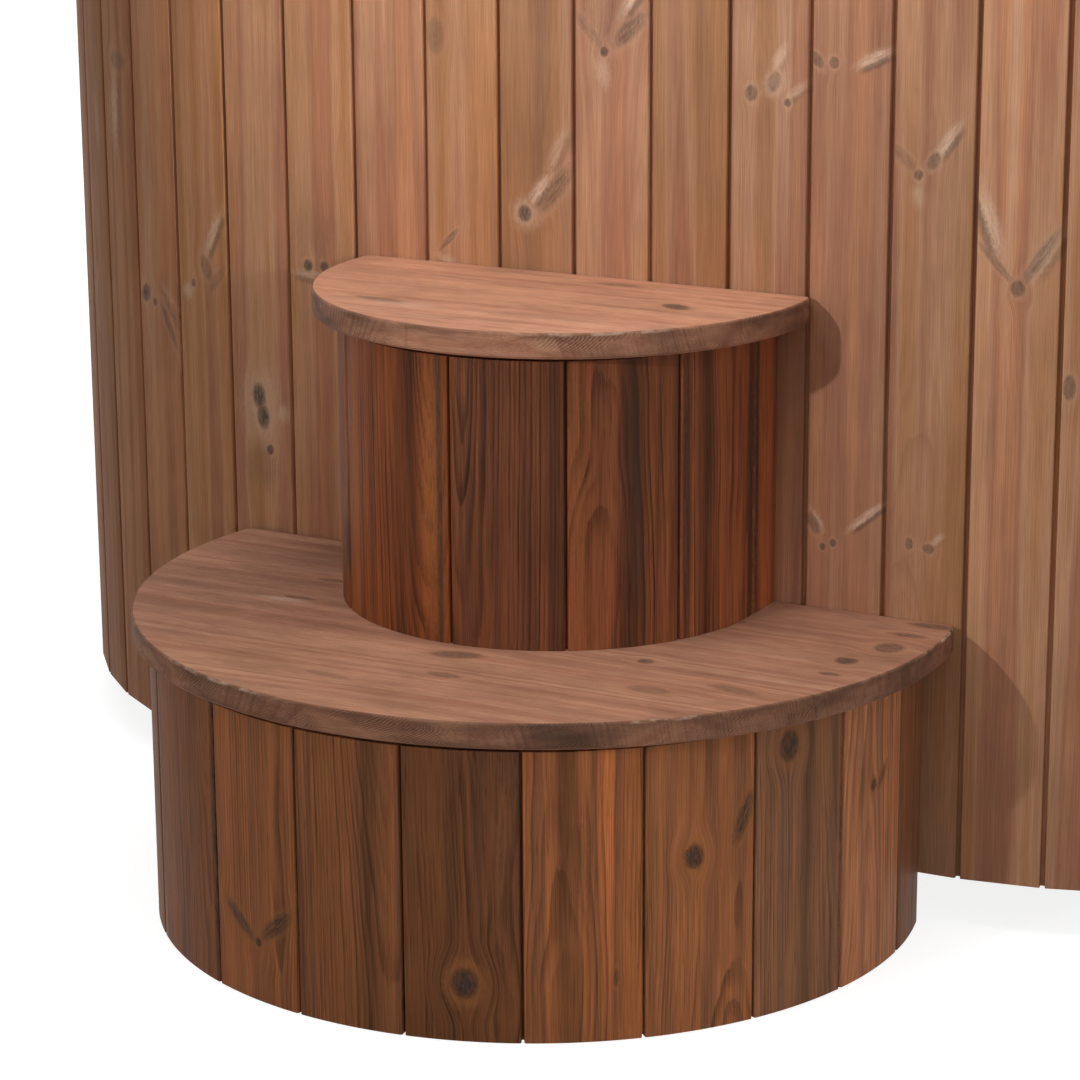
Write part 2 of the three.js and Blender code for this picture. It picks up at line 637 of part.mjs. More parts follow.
function buildValveHandle() {
  const handle = new THREE.Group();
  handle.position.set(0, ballY, DRAIN_LEVEL);
  part.add(handle);

  const bore = new THREE.CylinderGeometry(BALL_BORE, BALL_BORE, 4 * BALL_RADIUS, 24).rotateZ(Math.PI / 2);
  const slotDepth = TANG_DEPTH + SEAT_GAP;
  const slot = new THREE.BoxGeometry(
    2 * BALL_RADIUS,
    TANG_WIDTH + 2 * SEAT_GAP,
    2 * slotDepth,
  ).translate(0, 0, BALL_RADIUS);
  const ball = cut(new THREE.SphereGeometry(BALL_RADIUS, 20, 14).rotateX(Math.PI / 2), bore, slot);
  addMesh("valve_ball", ball, STEEL, handle);

  const stemFoot = BALL_RADIUS + SEAT_GAP;
  const leverLevel = STEM_BOSS_TOP + RUN_GAP;
  const nutLevel = leverLevel + LEVER_THICK + SEAT_GAP;
  const stemTop = nutLevel + LEVER_NUT_THICK + 2;
  const stemRod = cylinderZ(STEM_RADIUS, stemFoot, stemTop);
  const tangBox = new THREE.BoxGeometry(TANG_LENGTH, TANG_WIDTH, TANG_DEPTH + 2 * SEAT_GAP);
  const tang = tangBox.translate(0, 0, BALL_RADIUS - TANG_DEPTH / 2 + SEAT_GAP);
  const flat = new THREE.BoxGeometry(4 * STEM_RADIUS, 2 * STEM_RADIUS, stemTop);
  const flatOffset = STEM_FLATS / 2 + STEM_RADIUS;
  const flatMiddle = leverLevel + stemTop / 2;
  const nearFlat = flat.clone().translate(0, -flatOffset, flatMiddle);
  const farFlat = flat.clone().translate(0, flatOffset, flatMiddle);
  addMesh("valve_stem", cut(join(stemRod, tang), nearFlat, farFlat), STEEL, handle);

  const hubRadius = LEVER_WIDTH / 2;
  const armLevel = leverLevel + LEVER_LIFT;
  const rampStart = 1.5 * hubRadius;
  const rampEnd = rampStart + LEVER_RAMP;
  const side = [
    new THREE.Vector2(-hubRadius, leverLevel),
    new THREE.Vector2(rampStart, leverLevel),
    new THREE.Vector2(rampEnd, armLevel),
    new THREE.Vector2(LEVER_REACH, armLevel),
    new THREE.Vector2(LEVER_REACH, armLevel + LEVER_THICK),
    new THREE.Vector2(rampEnd - LEVER_THICK / 2, armLevel + LEVER_THICK),
    new THREE.Vector2(rampStart - LEVER_THICK / 2, leverLevel + LEVER_THICK),
    new THREE.Vector2(-hubRadius, leverLevel + LEVER_THICK),
  ];
  const bar = prism(side, -LEVER_WIDTH / 2, LEVER_WIDTH / 2).rotateX(Math.PI / 2);
  const eyeRod = cylinderZ(STEM_RADIUS + SEAT_GAP, 0, stemTop);
  const eyeFlats = new THREE.BoxGeometry(4 * STEM_RADIUS, STEM_FLATS + 2 * SEAT_GAP, 4 * stemTop);
  const eye = geometryOf(solidOf(eyeRod).intersect(solidOf(eyeFlats)));
  addMesh("valve_lever", cut(bar, eye), STEEL, handle);

  const gripFrom = LEVER_REACH - GRIP_LENGTH;
  const sleeve = new THREE.Shape();
  const sleeveHalf = LEVER_WIDTH / 2 + SEAT_GAP + GRIP_WALL;
  const sleeveRise = LEVER_THICK / 2 + SEAT_GAP + GRIP_WALL;
  sleeve.absarc(sleeveHalf - sleeveRise, 0, sleeveRise, -Math.PI / 2, Math.PI / 2);
  sleeve.absarc(sleeveRise - sleeveHalf, 0, sleeveRise, Math.PI / 2, 1.5 * Math.PI);
  const sleeveBody = new THREE.ExtrudeGeometry(sleeve, {
    depth: GRIP_LENGTH + GRIP_WALL,
    bevelEnabled: false,
    curveSegments: 8,
  })
    .rotateX(Math.PI / 2)
    .rotateZ(Math.PI / 2)
    .translate(gripFrom, 0, armLevel + LEVER_THICK / 2);
  const socket = new THREE.BoxGeometry(
    GRIP_LENGTH + 2 * SEAT_GAP,
    LEVER_WIDTH + 2 * SEAT_GAP,
    LEVER_THICK + 2 * SEAT_GAP,
  ).translate(gripFrom + GRIP_LENGTH / 2, 0, armLevel + LEVER_THICK / 2);
  addMesh("valve_grip", cut(sleeveBody, socket), GRIP_PLASTIC, handle);

  const nut = cut(
    prism(hexagon(LEVER_NUT_FLATS), nutLevel, nutLevel + LEVER_NUT_THICK),
    cylinderZ(STEM_RADIUS + SEAT_GAP, 0, 2 * nutLevel),
  );
  addMesh("valve_lever_nut", nut, STEEL, handle);
}

// The path of a tier's front boards, from the wall round to the wall again. Its circle is set off from the wall.
// The sides follow that circle to the wall, or leave it at the half round and run straight.
// It gives the point and outward direction at a distance from its left end.
function frontPath(tier) {
  const { riserRadius: radius, riserSetOff: setOff, straightSides } = tier;
  const straight = straightSides ? setOff : 0;
  const turn = straightSides ? 0 : Math.asin(setOff / radius);
  const arc = (Math.PI + 2 * turn) * radius;
  return {
    length: 2 * straight + arc,
    bends: [straight, straight + arc / 2, straight + arc],
    at(distance) {
      if (straightSides && distance <= straight) {
        return [new THREE.Vector2(-radius, -distance), new THREE.Vector2(-1, 0)];
      }
      if (straightSides && distance >= straight + arc) {
        return [new THREE.Vector2(radius, distance - 2 * straight - arc), new THREE.Vector2(1, 0)];
      }
      const angle = Math.PI - turn + (distance - straight) / radius;
      const out = new THREE.Vector2(Math.cos(angle), Math.sin(angle));
      return [new THREE.Vector2(0, -setOff).addScaledVector(out, radius), out];
    },
  };
}

// Points along a stretch of a front path, set in from it, close enough together to follow its curve.
function frontStretch(path, from, to, depth) {
  const stops = path.bends.filter((bend) => bend > from + 1 && bend < to - 1);
  const marks = [from, ...stops, to];
  const distances = [from];
  for (let i = 0; i + 1 < marks.length; i++) {
    const turned = path.at(marks[i])[1].angleTo(path.at(marks[i + 1])[1]);
    const steps = Math.max(1, Math.ceil(turned / CURVE_STEP));
    for (let n = 1; n <= steps; n++) {
      distances.push(marks[i] + ((marks[i + 1] - marks[i]) * n) / steps);
    }
  }
  return distances.map((d) => {
    const [point, out] = path.at(d);
    return point.addScaledVector(out, -depth);
  });
}

// A round-fronted board whose sides follow its circle to the wall, with rounded back corners and eased edges.
function treadGeometry(tier) {
  const { treadRadius: radius, treadSetOff: setOff } = tier;
  const cornerX = Math.sqrt((radius - TREAD_CORNER) ** 2 - (setOff - TREAD_CORNER) ** 2);
  const turn = Math.atan2(setOff - TREAD_CORNER, cornerX);
  const outline = [];
  const sweep = (x, y, reach, from, to, count) => {
    for (let i = 0; i < count; i++) {
      const angle = from + ((to - from) * i) / count;
      outline.push(new THREE.Vector2(x + reach * Math.cos(angle), y + reach * Math.sin(angle)));
    }
  };
  sweep(-cornerX, -TREAD_CORNER, TREAD_CORNER, Math.PI / 2, Math.PI - turn, 4);
  sweep(0, -setOff, radius, Math.PI - turn, 2 * Math.PI + turn, TREAD_SEGMENTS);
  sweep(cornerX, -TREAD_CORNER, TREAD_CORNER, turn, Math.PI / 2, 4);
  outline.push(new THREE.Vector2(cornerX, 0));
  const geometry = new THREE.ExtrudeGeometry(new THREE.Shape(outline), {
    depth: TREAD_THICK - 2 * TREAD_EASE,
    bevelThickness: TREAD_EASE,
    bevelSize: TREAD_EASE,
    bevelOffset: -TREAD_EASE,
    bevelSegments: 2,
  });
  return geometry.translate(0, 0, tier.top - TREAD_THICK + TREAD_EASE);
}

// One tier of the steps: upright boards fixed round two ply formers, with a tread on the upper one.
function buildTier(tier, floor, lift, steps) {
  addMesh(`${tier.name}_tread`, treadGeometry(tier), TREAD_TIMBER, steps);

  const path = frontPath(tier);
  const underside = tier.top - TREAD_THICK;
  const total = tier.boardShares.reduce((sum, share) => sum + share, 0);
  let from = 0;
  tier.boardShares.forEach((share, n) => {
    const to = from + (share / total) * path.length;
    const half = RISER_JOINT / 2;
    const start = from + (n === 0 ? 0 : half);
    const end = to - (n === tier.boardShares.length - 1 ? 0 : half);
    const face = frontStretch(path, start + RISER_EASE, end - RISER_EASE, 0);
    const edge = (distance, depth) => frontStretch(path, distance, distance + 1, depth)[0];
    const outline = [
      edge(start, RISER_THICK),
      edge(start, RISER_EASE),
      ...face,
      edge(end, RISER_EASE),
      ...frontStretch(path, start, end, RISER_THICK).reverse().slice(0, -1),
    ];
    const board = prism(outline, floor, underside - SHADOW_GAP);
    addMesh(`${tier.name}_riser_${String(n + 1).padStart(2, "0")}`, board, RISER_TIMBER, steps);
    from = to;
  });

  const insideSag = (tier.riserRadius - RISER_THICK) * (1 - Math.cos(CURVE_STEP / 2));
  const former = frontStretch(path, 0, path.length, RISER_THICK + insideSag + SEAT_GAP);
  const footFrom = floor + lift;
  const footTo = footFrom + FORMER_THICK;
  const headTo = underside - SEAT_GAP;
  const headFrom = headTo - FORMER_THICK;
  addMesh(`${tier.name}_former_foot`, prism(former, footFrom, footTo), PLYWOOD, steps);
  addMesh(`${tier.name}_former_head`, prism(former, headFrom, headTo), PLYWOOD, steps);
}

function buildSteps() {
  const steps = new THREE.Group();
  steps.position.set(STEP_CENTRE_X, STEP_BACK_Y, 0);
  part.add(steps);
  buildTier(LOWER, 0, FORMER_LIFT, steps);
  buildTier(UPPER, LOWER.top + SEAT_GAP, 0, steps);
}

buildBase();
buildWall();
buildLinerWall();
buildLinerFloor();
buildRim();
buildInsulation();
buildDrain();
buildValveBody();
buildValveHandle();
buildSteps();

export default part;
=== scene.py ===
"""Plunge tub of thermo-treated boards with a half-round step unit: boards, finishes and studio."""

from __future__ import annotations

import logging
import math
import random
from abc import ABC, abstractmethod
from dataclasses import dataclass, field, replace
from enum import Enum
from typing import Sequence

import bmesh
import bpy
from mathutils import Matrix, Vector, noise


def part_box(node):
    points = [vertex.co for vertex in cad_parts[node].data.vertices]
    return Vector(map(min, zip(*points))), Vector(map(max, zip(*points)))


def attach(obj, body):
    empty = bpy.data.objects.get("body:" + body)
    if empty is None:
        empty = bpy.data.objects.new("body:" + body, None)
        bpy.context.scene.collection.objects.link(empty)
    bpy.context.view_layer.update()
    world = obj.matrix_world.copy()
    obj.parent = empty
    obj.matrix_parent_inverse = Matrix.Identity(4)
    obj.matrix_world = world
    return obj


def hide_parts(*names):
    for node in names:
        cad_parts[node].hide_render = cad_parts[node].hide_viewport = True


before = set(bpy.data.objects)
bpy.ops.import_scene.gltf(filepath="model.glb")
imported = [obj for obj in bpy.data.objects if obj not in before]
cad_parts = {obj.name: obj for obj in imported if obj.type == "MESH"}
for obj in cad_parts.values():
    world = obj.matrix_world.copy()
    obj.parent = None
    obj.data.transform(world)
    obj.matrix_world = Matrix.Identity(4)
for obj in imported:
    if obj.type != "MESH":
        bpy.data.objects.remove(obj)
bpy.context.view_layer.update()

LOG = logging.getLogger("plunge_tub")
MARKS = 8
TIP_SHARE = 0.985

Socket = bpy.types.NodeSocket
Number = float | Socket
Colour = tuple[float, float, float, float]
Triple = tuple[float, float, float]


class Body(str, Enum):
    """The bodies of the frame that pieces ride on."""

    TUB = "tub"
    HANDLE = "valve_handle"
    STEPS = "steps"


def paint(code: str) -> Colour:
    """Turns a hexadecimal display colour into the linear colour that a shader takes.

    Args:
        code: Six hexadecimal digits.

    Returns:
        The linear red, green and blue, with a full alpha.
    """
    shares = [int(code[i : i + 2], 16) / 255 for i in (0, 2, 4)]
    linear = [c / 12.92 if c <= 0.04045 else ((c + 0.055) / 1.055) ** 2.4 for c in shares]
    return (*linear, 1.0)


class NodeSheet:
    """A material's node tree, filled by calls that return sockets."""

    def __init__(self, name: str) -> None:
        """Makes the material.

        Args:
            name: The material's name.
        """
        self.material = bpy.data.materials.new(name)
        self.material.use_nodes = True
        self.tree = self.material.node_tree
        self.shader = self.tree.nodes["Principled BSDF"]

    def feed(self, socket: Socket, value: Number | Sequence[float]) -> None:
        """Links a socket's value, or sets it.

        Args:
            socket: The input socket.
            value: Another node's output, or a constant.
        """
        if isinstance(value, bpy.types.NodeSocket):
            self.tree.links.new(value, socket)
        else:
            socket.default_value = value

    def node(self, kind: str, *values: Number | Sequence[float] | None, **settings: object) -> bpy.types.Node:
        """Adds a node.

        Args:
            kind: The node's type name.
            *values: Its inputs in order, None where the default stays.
            **settings: Its properties.

        Returns:
            The node.
        """
        made = self.tree.nodes.new(kind)
        for name, setting in settings.items():
            setattr(made, name, setting)
        for socket, value in zip(made.inputs, values):
            if value is not None:
                self.feed(socket, value)
        return made

    def math(self, operation: str, *values: Number) -> Socket:
        """Returns the result of a Math node."""
        return self.node("ShaderNodeMath", *values, operation=operation).outputs[0]

    def total(self, *values: Number) -> Socket:
        """Returns the sum of the values."""
        result = values[0]
        for value in values[1:]:
            result = self.math("ADD", result, value)
        return result

    def product(self, *values: Number) -> Socket:
        """Returns the product of the values."""
        result = values[0]
        for value in values[1:]:
            result = self.math("MULTIPLY", result, value)
        return result

    def scaled(self, value: Number, factor: Number, offset: Number) -> Socket:
        """Returns value times factor plus offset."""
        return self.math("MULTIPLY_ADD", value, factor, offset)

    def join(self, x: Number, y: Number, z: Number) -> Socket:
        """Returns the vector of three numbers."""
        return self.node("ShaderNodeCombineXYZ", x, y, z).outputs[0]

    def split(self, vector: Socket) -> tuple[Socket, Socket, Socket]:
        """Returns the three numbers of a vector."""
        return tuple(self.node("ShaderNodeSeparateXYZ", vector).outputs)

    def attribute(self, name: str, output: str = "Vector") -> Socket:
        """Returns an attribute of the mesh."""
        return self.node("ShaderNodeAttribute", attribute_name=name).outputs[output]

    def place(self) -> Socket:
        """Returns the Object coordinates."""
        return self.node("ShaderNodeTexCoord").outputs["Object"]

    def stretched(self, vector: Socket, scale: Triple) -> Socket:
        """Returns a vector times a scale along each axis."""
        return self.node("ShaderNodeVectorMath", vector, scale, operation="MULTIPLY").outputs[0]

    def chance(self, number: Socket) -> Socket:
        """Returns a random colour that depends on a number alone."""
        return self.node("ShaderNodeTexWhiteNoise", None, number, noise_dimensions="1D").outputs["Color"]

    def noise(self, vector: Socket, detail: float = 2.0, rough: float = 0.5) -> Socket:
        """Returns a noise of about one feature per unit, between 0 and 1."""
        made = self.node("ShaderNodeTexNoise", vector, noise_dimensions="3D")
        made.inputs["Scale"].default_value = 1.0
        made.inputs["Detail"].default_value = detail
        made.inputs["Roughness"].default_value = rough
        return made.outputs[0]

    def smooth(self, value: Number, start: Number, end: Number) -> Socket:
        """Returns 0 at start and 1 at end, with a soft step between."""
        made = self.node("ShaderNodeMapRange", value, start, end, interpolation_type="SMOOTHSTEP")
        return made.outputs[0]

    def mix(self, share: Number, low: Socket | Colour, high: Socket | Colour, blend: str = "MIX") -> Socket:
        """Returns a mix of two colours."""
        made = self.tree.nodes.new("ShaderNodeMix")
        made.data_type = "RGBA"
        made.blend_type = blend
        self.feed(made.inputs[0], share)
        self.feed(made.inputs[6], low)
        self.feed(made.inputs[7], high)
        return made.outputs[2]

    def ramp(self, share: Socket, colours: Sequence[Colour], low: float = 0.0, high: float = 1.0) -> Socket:
        """Returns a colour between evenly spaced ones.

        Args:
            share: Where to read the ramp.
            colours: The colours in order.
            low: The place of the first colour.
            high: The place of the last colour.

        Returns:
            The colour's socket.
        """
        made = self.node("ShaderNodeValToRGB", share)
        stops = made.color_ramp.elements
        while len(stops) < len(colours):
            stops.new(0.5)
        for n, colour in enumerate(colours):
            stops[n].position = low + (high - low) * n / (len(colours) - 1)
            stops[n].color = colour
        return made.outputs[0]

    def bump(self, height: Socket, strength: float, distance: float) -> None:
        """Drives the shader's normal by a height."""
        made = self.tree.nodes.new("ShaderNodeBump")
        made.inputs["Strength"].default_value = strength
        made.inputs["Distance"].default_value = distance
        self.feed(made.inputs["Height"], height)
        self.feed(self.shader.inputs["Normal"], made.outputs[0])

    def finish(self, **values: Number | Socket | Colour) -> bpy.types.Material:
        """Sets the shader's inputs by their names with underscores for spaces, and returns the material."""
        for name, value in values.items():
            self.feed(self.shader.inputs[name.replace("_", " ")], value)
        return self.material


class Finish(ABC):
    """A finish that makes its own material once."""

    name: str

    @abstractmethod
    def build(self) -> bpy.types.Material:
        """Makes the material."""

    def material(self) -> bpy.types.Material:
        """Returns the finish's material, made when it is first asked for."""
        label = f"{self.name}_finish"
        made = bpy.data.materials.get(label)
        if made is None:
            made = self.build()
            made.name = label
        return made


@dataclass(frozen=True)
class Figure:
    """What the knots and wings of a board, and its patches and stripes of painted shade, do to its grain and colour,
    as sockets.
    """

    bend: Socket
    dark: Socket
    outline: Socket
    halo: Socket
    pale: Socket


@dataclass(frozen=True)
class TimberFinish(Finish):
    """Timber that reads its grain from the boards: across, depth and length from each board's own middle."""

    name: str
    bands: tuple[str, ...]
    late: str
    knot_and_painted_shade: str
    # colour of the dark marks: knots, and the patches and stripes of painted shade
    halo: str
    pale: str
    ring: float
    ring_depth: float
    fibre_depth: float
    band: float
    roughness: float
    relief: float
    tick_depth: float = 0.2
    mottle: float = 0.2
    fade: float = 0.32
    fibre_run: float = 13.0
    halo_depth: float = 0.5
    edge: str = "2f2119"

    def figure(self, sheet: NodeSheet, across: Socket, along: Socket) -> Figure:
        """Adds up the board's marks.

        Args:
            sheet: The material's nodes.
            across: The distance across the board.
            along: The distance along the board.

        Returns:
            How far the grain bends, and how much of it is dark, pale or in a halo.
        """
        rag = sheet.noise(sheet.join(sheet.product(across, 300.0), 0.0, sheet.product(along, 170.0)), 3.0)
        bend: Number = 0.0
        dark: Number = 0.0
        outline: Number = 0.0
        halo: Number = 0.0
        pale: Number = 0.0
        for n in range(MARKS):
            at_across, at_along, lean = sheet.split(sheet.attribute(f"mark_{n}"))
            length, width, shade = sheet.split(sheet.attribute(f"mark_{n}_size"))
            aside = sheet.math("SUBTRACT", across, at_across)
            offset = sheet.join(aside, sheet.math("SUBTRACT", along, at_along), 0.0)
            turned = sheet.node("ShaderNodeVectorRotate", offset, rotation_type="Z_AXIS")
            sheet.feed(turned.inputs["Angle"], lean)
            size = sheet.join(width, length, 1.0)
            shrunk = sheet.node("ShaderNodeVectorMath", turned.outputs[0], size, operation="DIVIDE").outputs[0]
            reach = sheet.node("ShaderNodeVectorMath", shrunk, operation="LENGTH").outputs["Value"]
            slim = sheet.smooth(sheet.math("DIVIDE", length, width), 1.6, 3.2)
            ragged = sheet.total(reach, sheet.product(sheet.scaled(rag, 2.0, -1.0), sheet.scaled(slim, 0.05, 0.45)))
            streak = sheet.noise(sheet.stretched(turned.outputs[0], (620.0, 46.0, 1.0)), 2.0)
            feather = sheet.scaled(slim, sheet.scaled(sheet.smooth(streak, 0.36, 0.62), 0.5, -0.5), 1.0)
            deep = sheet.math("MAXIMUM", shade, 0.0)
            thin = sheet.math("MAXIMUM", sheet.product(shade, -1.0), 0.0)
            near = sheet.product(sheet.smooth(reach, 3.2, 0.7), deep, sheet.scaled(slim, -0.75, 1.0))
            bend = sheet.total(bend, sheet.product(aside, near, 0.8))
            dark = sheet.math("MAXIMUM", dark, sheet.product(sheet.smooth(ragged, 1.3, 0.45), deep, feather))
            ring = sheet.product(sheet.smooth(ragged, 1.2, 0.9), sheet.smooth(ragged, 0.5, 0.9), sheet.smooth(rag, 0.4, 0.6))
            drawn = sheet.product(sheet.smooth(deep, 0.3, 0.65), sheet.scaled(slim, -0.8, 1.0))
            outline = sheet.math("MAXIMUM", outline, sheet.product(ring, drawn))
            halo = sheet.math("MAXIMUM", halo, sheet.product(sheet.smooth(ragged, 2.0, 1.1), sheet.smooth(deep, 0.3, 0.65)))
            pale = sheet.math("MAXIMUM", pale, sheet.product(sheet.smooth(ragged, 1.5, 0.2), thin, feather))
            beside, ahead, _ = sheet.split(shrunk)
            under = sheet.total(sheet.product(beside, sheet.math("SIGN", lean)), sheet.scaled(rag, 0.8, -0.4))
            line = sheet.product(sheet.smooth(under, 0.3, 0.9), sheet.smooth(under, 1.9, 1.1))
            ends = sheet.smooth(sheet.math("ABSOLUTE", ahead), 1.1, 0.5)
            dark = sheet.math("MAXIMUM", dark, sheet.product(line, ends, slim, thin, 0.8))
        return Figure(bend, dark, outline, halo, pale)

    def rings(self, sheet: NodeSheet, across: Socket, depth: Socket, along: Socket, seed: Socket) -> Socket:
        """Draws the year rings of a board sawn beside the heart.

        Args:
            sheet: The material's nodes.
            across: The distance across the board, bent round its knots.
            depth: The distance into the board.
            along: The distance along the board.
            seed: The board's own number.

        Returns:
            The share of late wood.
        """
        side, below, tilt = sheet.split(sheet.chance(seed))
        sway = sheet.noise(sheet.join(seed, sheet.product(across, 9.0), sheet.product(along, 3.4)), 2.0)
        heart = sheet.scaled(side, 0.12, -0.06)
        lean = sheet.product(sheet.scaled(tilt, 0.14, -0.07), along)
        rise = sheet.total(sheet.scaled(below, 0.045, 0.012), lean, sheet.scaled(sway, 0.03, -0.015), depth)
        shift = sheet.math("SUBTRACT", across, heart)
        wide = sheet.product(shift, shift)
        high = sheet.product(rise, rise)
        radius = sheet.math("SQRT", sheet.total(wide, high))
        jitter = sheet.noise(sheet.join(sheet.product(across, 120.0), seed, sheet.product(along, 7.0)), 2.0)
        spacing = sheet.noise(sheet.join(sheet.product(radius, 0.16 / self.ring), seed, 0.0), 1.0)
        phase = sheet.total(sheet.product(radius, 1.0 / self.ring), sheet.product(jitter, 0.7), sheet.product(spacing, 5.0))
        part = sheet.math("FRACT", phase)
        year = sheet.split(sheet.chance(sheet.math("FLOOR", phase)))[0]
        late = sheet.product(sheet.smooth(part, 0.25, 0.88), sheet.smooth(part, 1.0, 0.93))
        fading = sheet.noise(sheet.join(sheet.product(across, 30.0), seed, sheet.product(along, 5.5)), 2.0)
        return sheet.product(late, sheet.scaled(year, 0.75, 0.25), sheet.smooth(fading, self.fade, self.fade + 0.3))

    def build(self) -> bpy.types.Material:
        """Makes the timber's material."""
        sheet = NodeSheet(self.name)
        across, depth, along = sheet.split(sheet.attribute("grain"))
        seed = sheet.attribute("seed", "Fac")
        # The tone's lightness scales each board's colour: its own lightness, and on some wall and riser boards painted
        # light and shade as well.
        light, warm, strength = sheet.split(sheet.attribute("tone"))
        figure = self.figure(sheet, across, along)
        bent = sheet.math("SUBTRACT", across, figure.bend)
        cut = sheet.split(sheet.attribute("rim"))[1]
        late = sheet.product(self.rings(sheet, bent, depth, along, seed), strength, sheet.scaled(cut, 1.6, 1.0))

        own = sheet.product(seed, 3.7)
        drift = sheet.join(sheet.scaled(bent, 1.0 / self.band, own), sheet.product(depth, 40.0), sheet.product(along, 0.6))
        blotch = sheet.noise(sheet.join(sheet.product(across, 24.0), own, sheet.product(along, 11.0)), 3.0, 0.6)
        colour = sheet.ramp(sheet.noise(drift, 2.5, 0.5), [paint(code) for code in self.bands], 0.3, 0.7)
        cloud = sheet.join(*[sheet.scaled(blotch, 2 * self.mottle, 1 - self.mottle)] * 3)
        colour = sheet.mix(1.0, colour, cloud, "MULTIPLY")
        colour = sheet.mix(sheet.product(late, self.ring_depth), colour, paint(self.late))

        fine = sheet.join(sheet.product(bent, 950.0), sheet.product(depth, 950.0), sheet.scaled(along, self.fibre_run, own))
        fibre = sheet.noise(fine, 3.0, 0.6)
        thread = sheet.smooth(fibre, 0.3, 0.7)
        shadow = sheet.join(*[sheet.scaled(thread, 2 * self.fibre_depth, 1 - self.fibre_depth)] * 3)
        colour = sheet.mix(1.0, colour, shadow, "MULTIPLY")
        dash = sheet.noise(sheet.join(sheet.product(bent, 700.0), own, sheet.product(along, 34.0)), 1.0)
        colour = sheet.mix(sheet.product(sheet.smooth(dash, 0.66, 0.78), self.tick_depth), colour, paint(self.late))

        hue = sheet.join(
            sheet.product(light, sheet.scaled(warm, 0.18, 1.0)),
            light,
            sheet.product(light, sheet.scaled(warm, -0.28, 1.0)),
        )
        colour = sheet.mix(1.0, colour, hue, "MULTIPLY")

        mottle = sheet.noise(sheet.join(sheet.product(across, 420.0), own, sheet.product(along, 160.0)), 2.0)
        colour = sheet.mix(sheet.product(figure.halo, self.halo_depth), colour, paint(self.halo))
        veil = sheet.product(figure.pale, sheet.scaled(mottle, 0.8, 0.45))
        colour = sheet.mix(veil, colour, paint(self.pale))
        # dark marks take this colour: knots, and painted shade in riser joints and over the lower tread's left end
        colour = sheet.mix(sheet.product(figure.dark, sheet.scaled(mottle, 0.9, 0.4)), colour, paint(self.knot_and_painted_shade))
        colour = sheet.mix(sheet.product(figure.outline, sheet.scaled(mottle, 0.6, 0.2)), colour, paint(self.edge))

        colour, skirt = self.worn_edge(sheet, colour, depth)

        height = sheet.total(sheet.product(thread, 0.45), sheet.product(late, 0.6), sheet.product(skirt, 0.5))
        sheet.bump(height, self.relief, 0.0005)
        rough = sheet.scaled(thread, -0.14, self.roughness + 0.07)
        return sheet.finish(Base_Color=colour, Roughness=rough, Specular_IOR_Level=0.1)

    def worn_edge(self, sheet: NodeSheet, colour: Socket, depth: Socket) -> tuple[Socket, Socket]:
        """Adds the saw marks of a tread's cut edge and the wear along its upper corner.

        Args:
            sheet: The material's nodes.
            colour: The timber's colour.
            depth: The distance below the tread's top.

        Returns:
            The colour, and the height of the saw marks.
        """
        around, edge, wear = sheet.split(sheet.attribute("rim"))
        sway = sheet.noise(sheet.join(sheet.product(around, 16.0), sheet.product(depth, 50.0), 0.0), 2.0)
        slant = sheet.total(around, sheet.product(depth, 1.5), sheet.product(sway, 0.03))
        saw = sheet.scaled(sheet.math("SINE", sheet.product(slant, 1500.0)), 0.5, 0.5)
        patch = sheet.noise(sheet.join(sheet.product(around, 11.0), 3.0, sheet.product(depth, 40.0)), 2.0)
        marks = sheet.product(saw, edge, sheet.smooth(patch, 0.42, 0.66))
        stain = sheet.noise(sheet.join(sheet.product(around, 7.0), 9.0, sheet.product(depth, 25.0)), 3.0)
        bare = sheet.mix(edge, colour, sheet.mix(1.0, colour, paint("e4dfdc"), "MULTIPLY"))
        greyed = sheet.mix(sheet.product(edge, sheet.smooth(stain, 0.38, 0.66), 0.85), bare, paint("4d382d"))
        cut = sheet.mix(sheet.product(marks, 0.55), greyed, paint("33241b"))
        grit = sheet.noise(sheet.join(sheet.product(around, 60.0), sheet.product(depth, 160.0), 7.0), 3.0)
        rare = sheet.noise(sheet.join(sheet.product(around, 6.0), 1.0, 4.0), 1.0)
        bared = sheet.smooth(sheet.scaled(wear, 0.3, rare), 0.76, 0.94)
        scuff = sheet.product(wear, sheet.smooth(grit, 0.42, 0.62), bared, 0.5)
        return sheet.mix(scuff, cut, paint(self.pale)), marks


@dataclass(frozen=True)
class SheetPlastic(Finish):
    """Pale plastic sheet or moulding with a faint flow texture."""

    name: str
    colour: str
    shade: str
    roughness: float
    grain: float = 260.0

    def build(self) -> bpy.types.Material:
        """Makes the plastic's material."""
        sheet = NodeSheet(self.name)
        place = sheet.place()
        cloud = sheet.noise(sheet.stretched(place, (7.0, 7.0, 7.0)), 3.0)
        peel = sheet.noise(sheet.stretched(place, (self.grain,) * 3), 2.0)
        colour = sheet.ramp(cloud, [paint(self.shade), paint(self.colour)], 0.25, 0.7)
        sheet.bump(peel, 0.06, 0.0004)
        rough = sheet.total(sheet.scaled(cloud, 0.05, self.roughness - 0.025), sheet.scaled(peel, 0.06, -0.03))
        return sheet.finish(Base_Color=colour, Roughness=rough, Specular_IOR_Level=0.45)


@dataclass(frozen=True)
class Foam(Finish):
    """Sprayed rigid foam with open cells on its skin."""

    name: str

    def build(self) -> bpy.types.Material:
        """Makes the foam's material."""
        sheet = NodeSheet(self.name)
        place = sheet.place()
        lump = sheet.noise(sheet.stretched(place, (35.0,) * 3), 4.0)
        cell = sheet.noise(sheet.stretched(place, (900.0,) * 3), 2.0)
        colour = sheet.ramp(lump, [paint("c3b07a"), paint("e0d2a0")], 0.3, 0.7)
        sheet.bump(sheet.total(lump, sheet.product(cell, 0.2)), 0.5, 0.003)
        return sheet.finish(Base_Color=colour, Roughness=0.95)


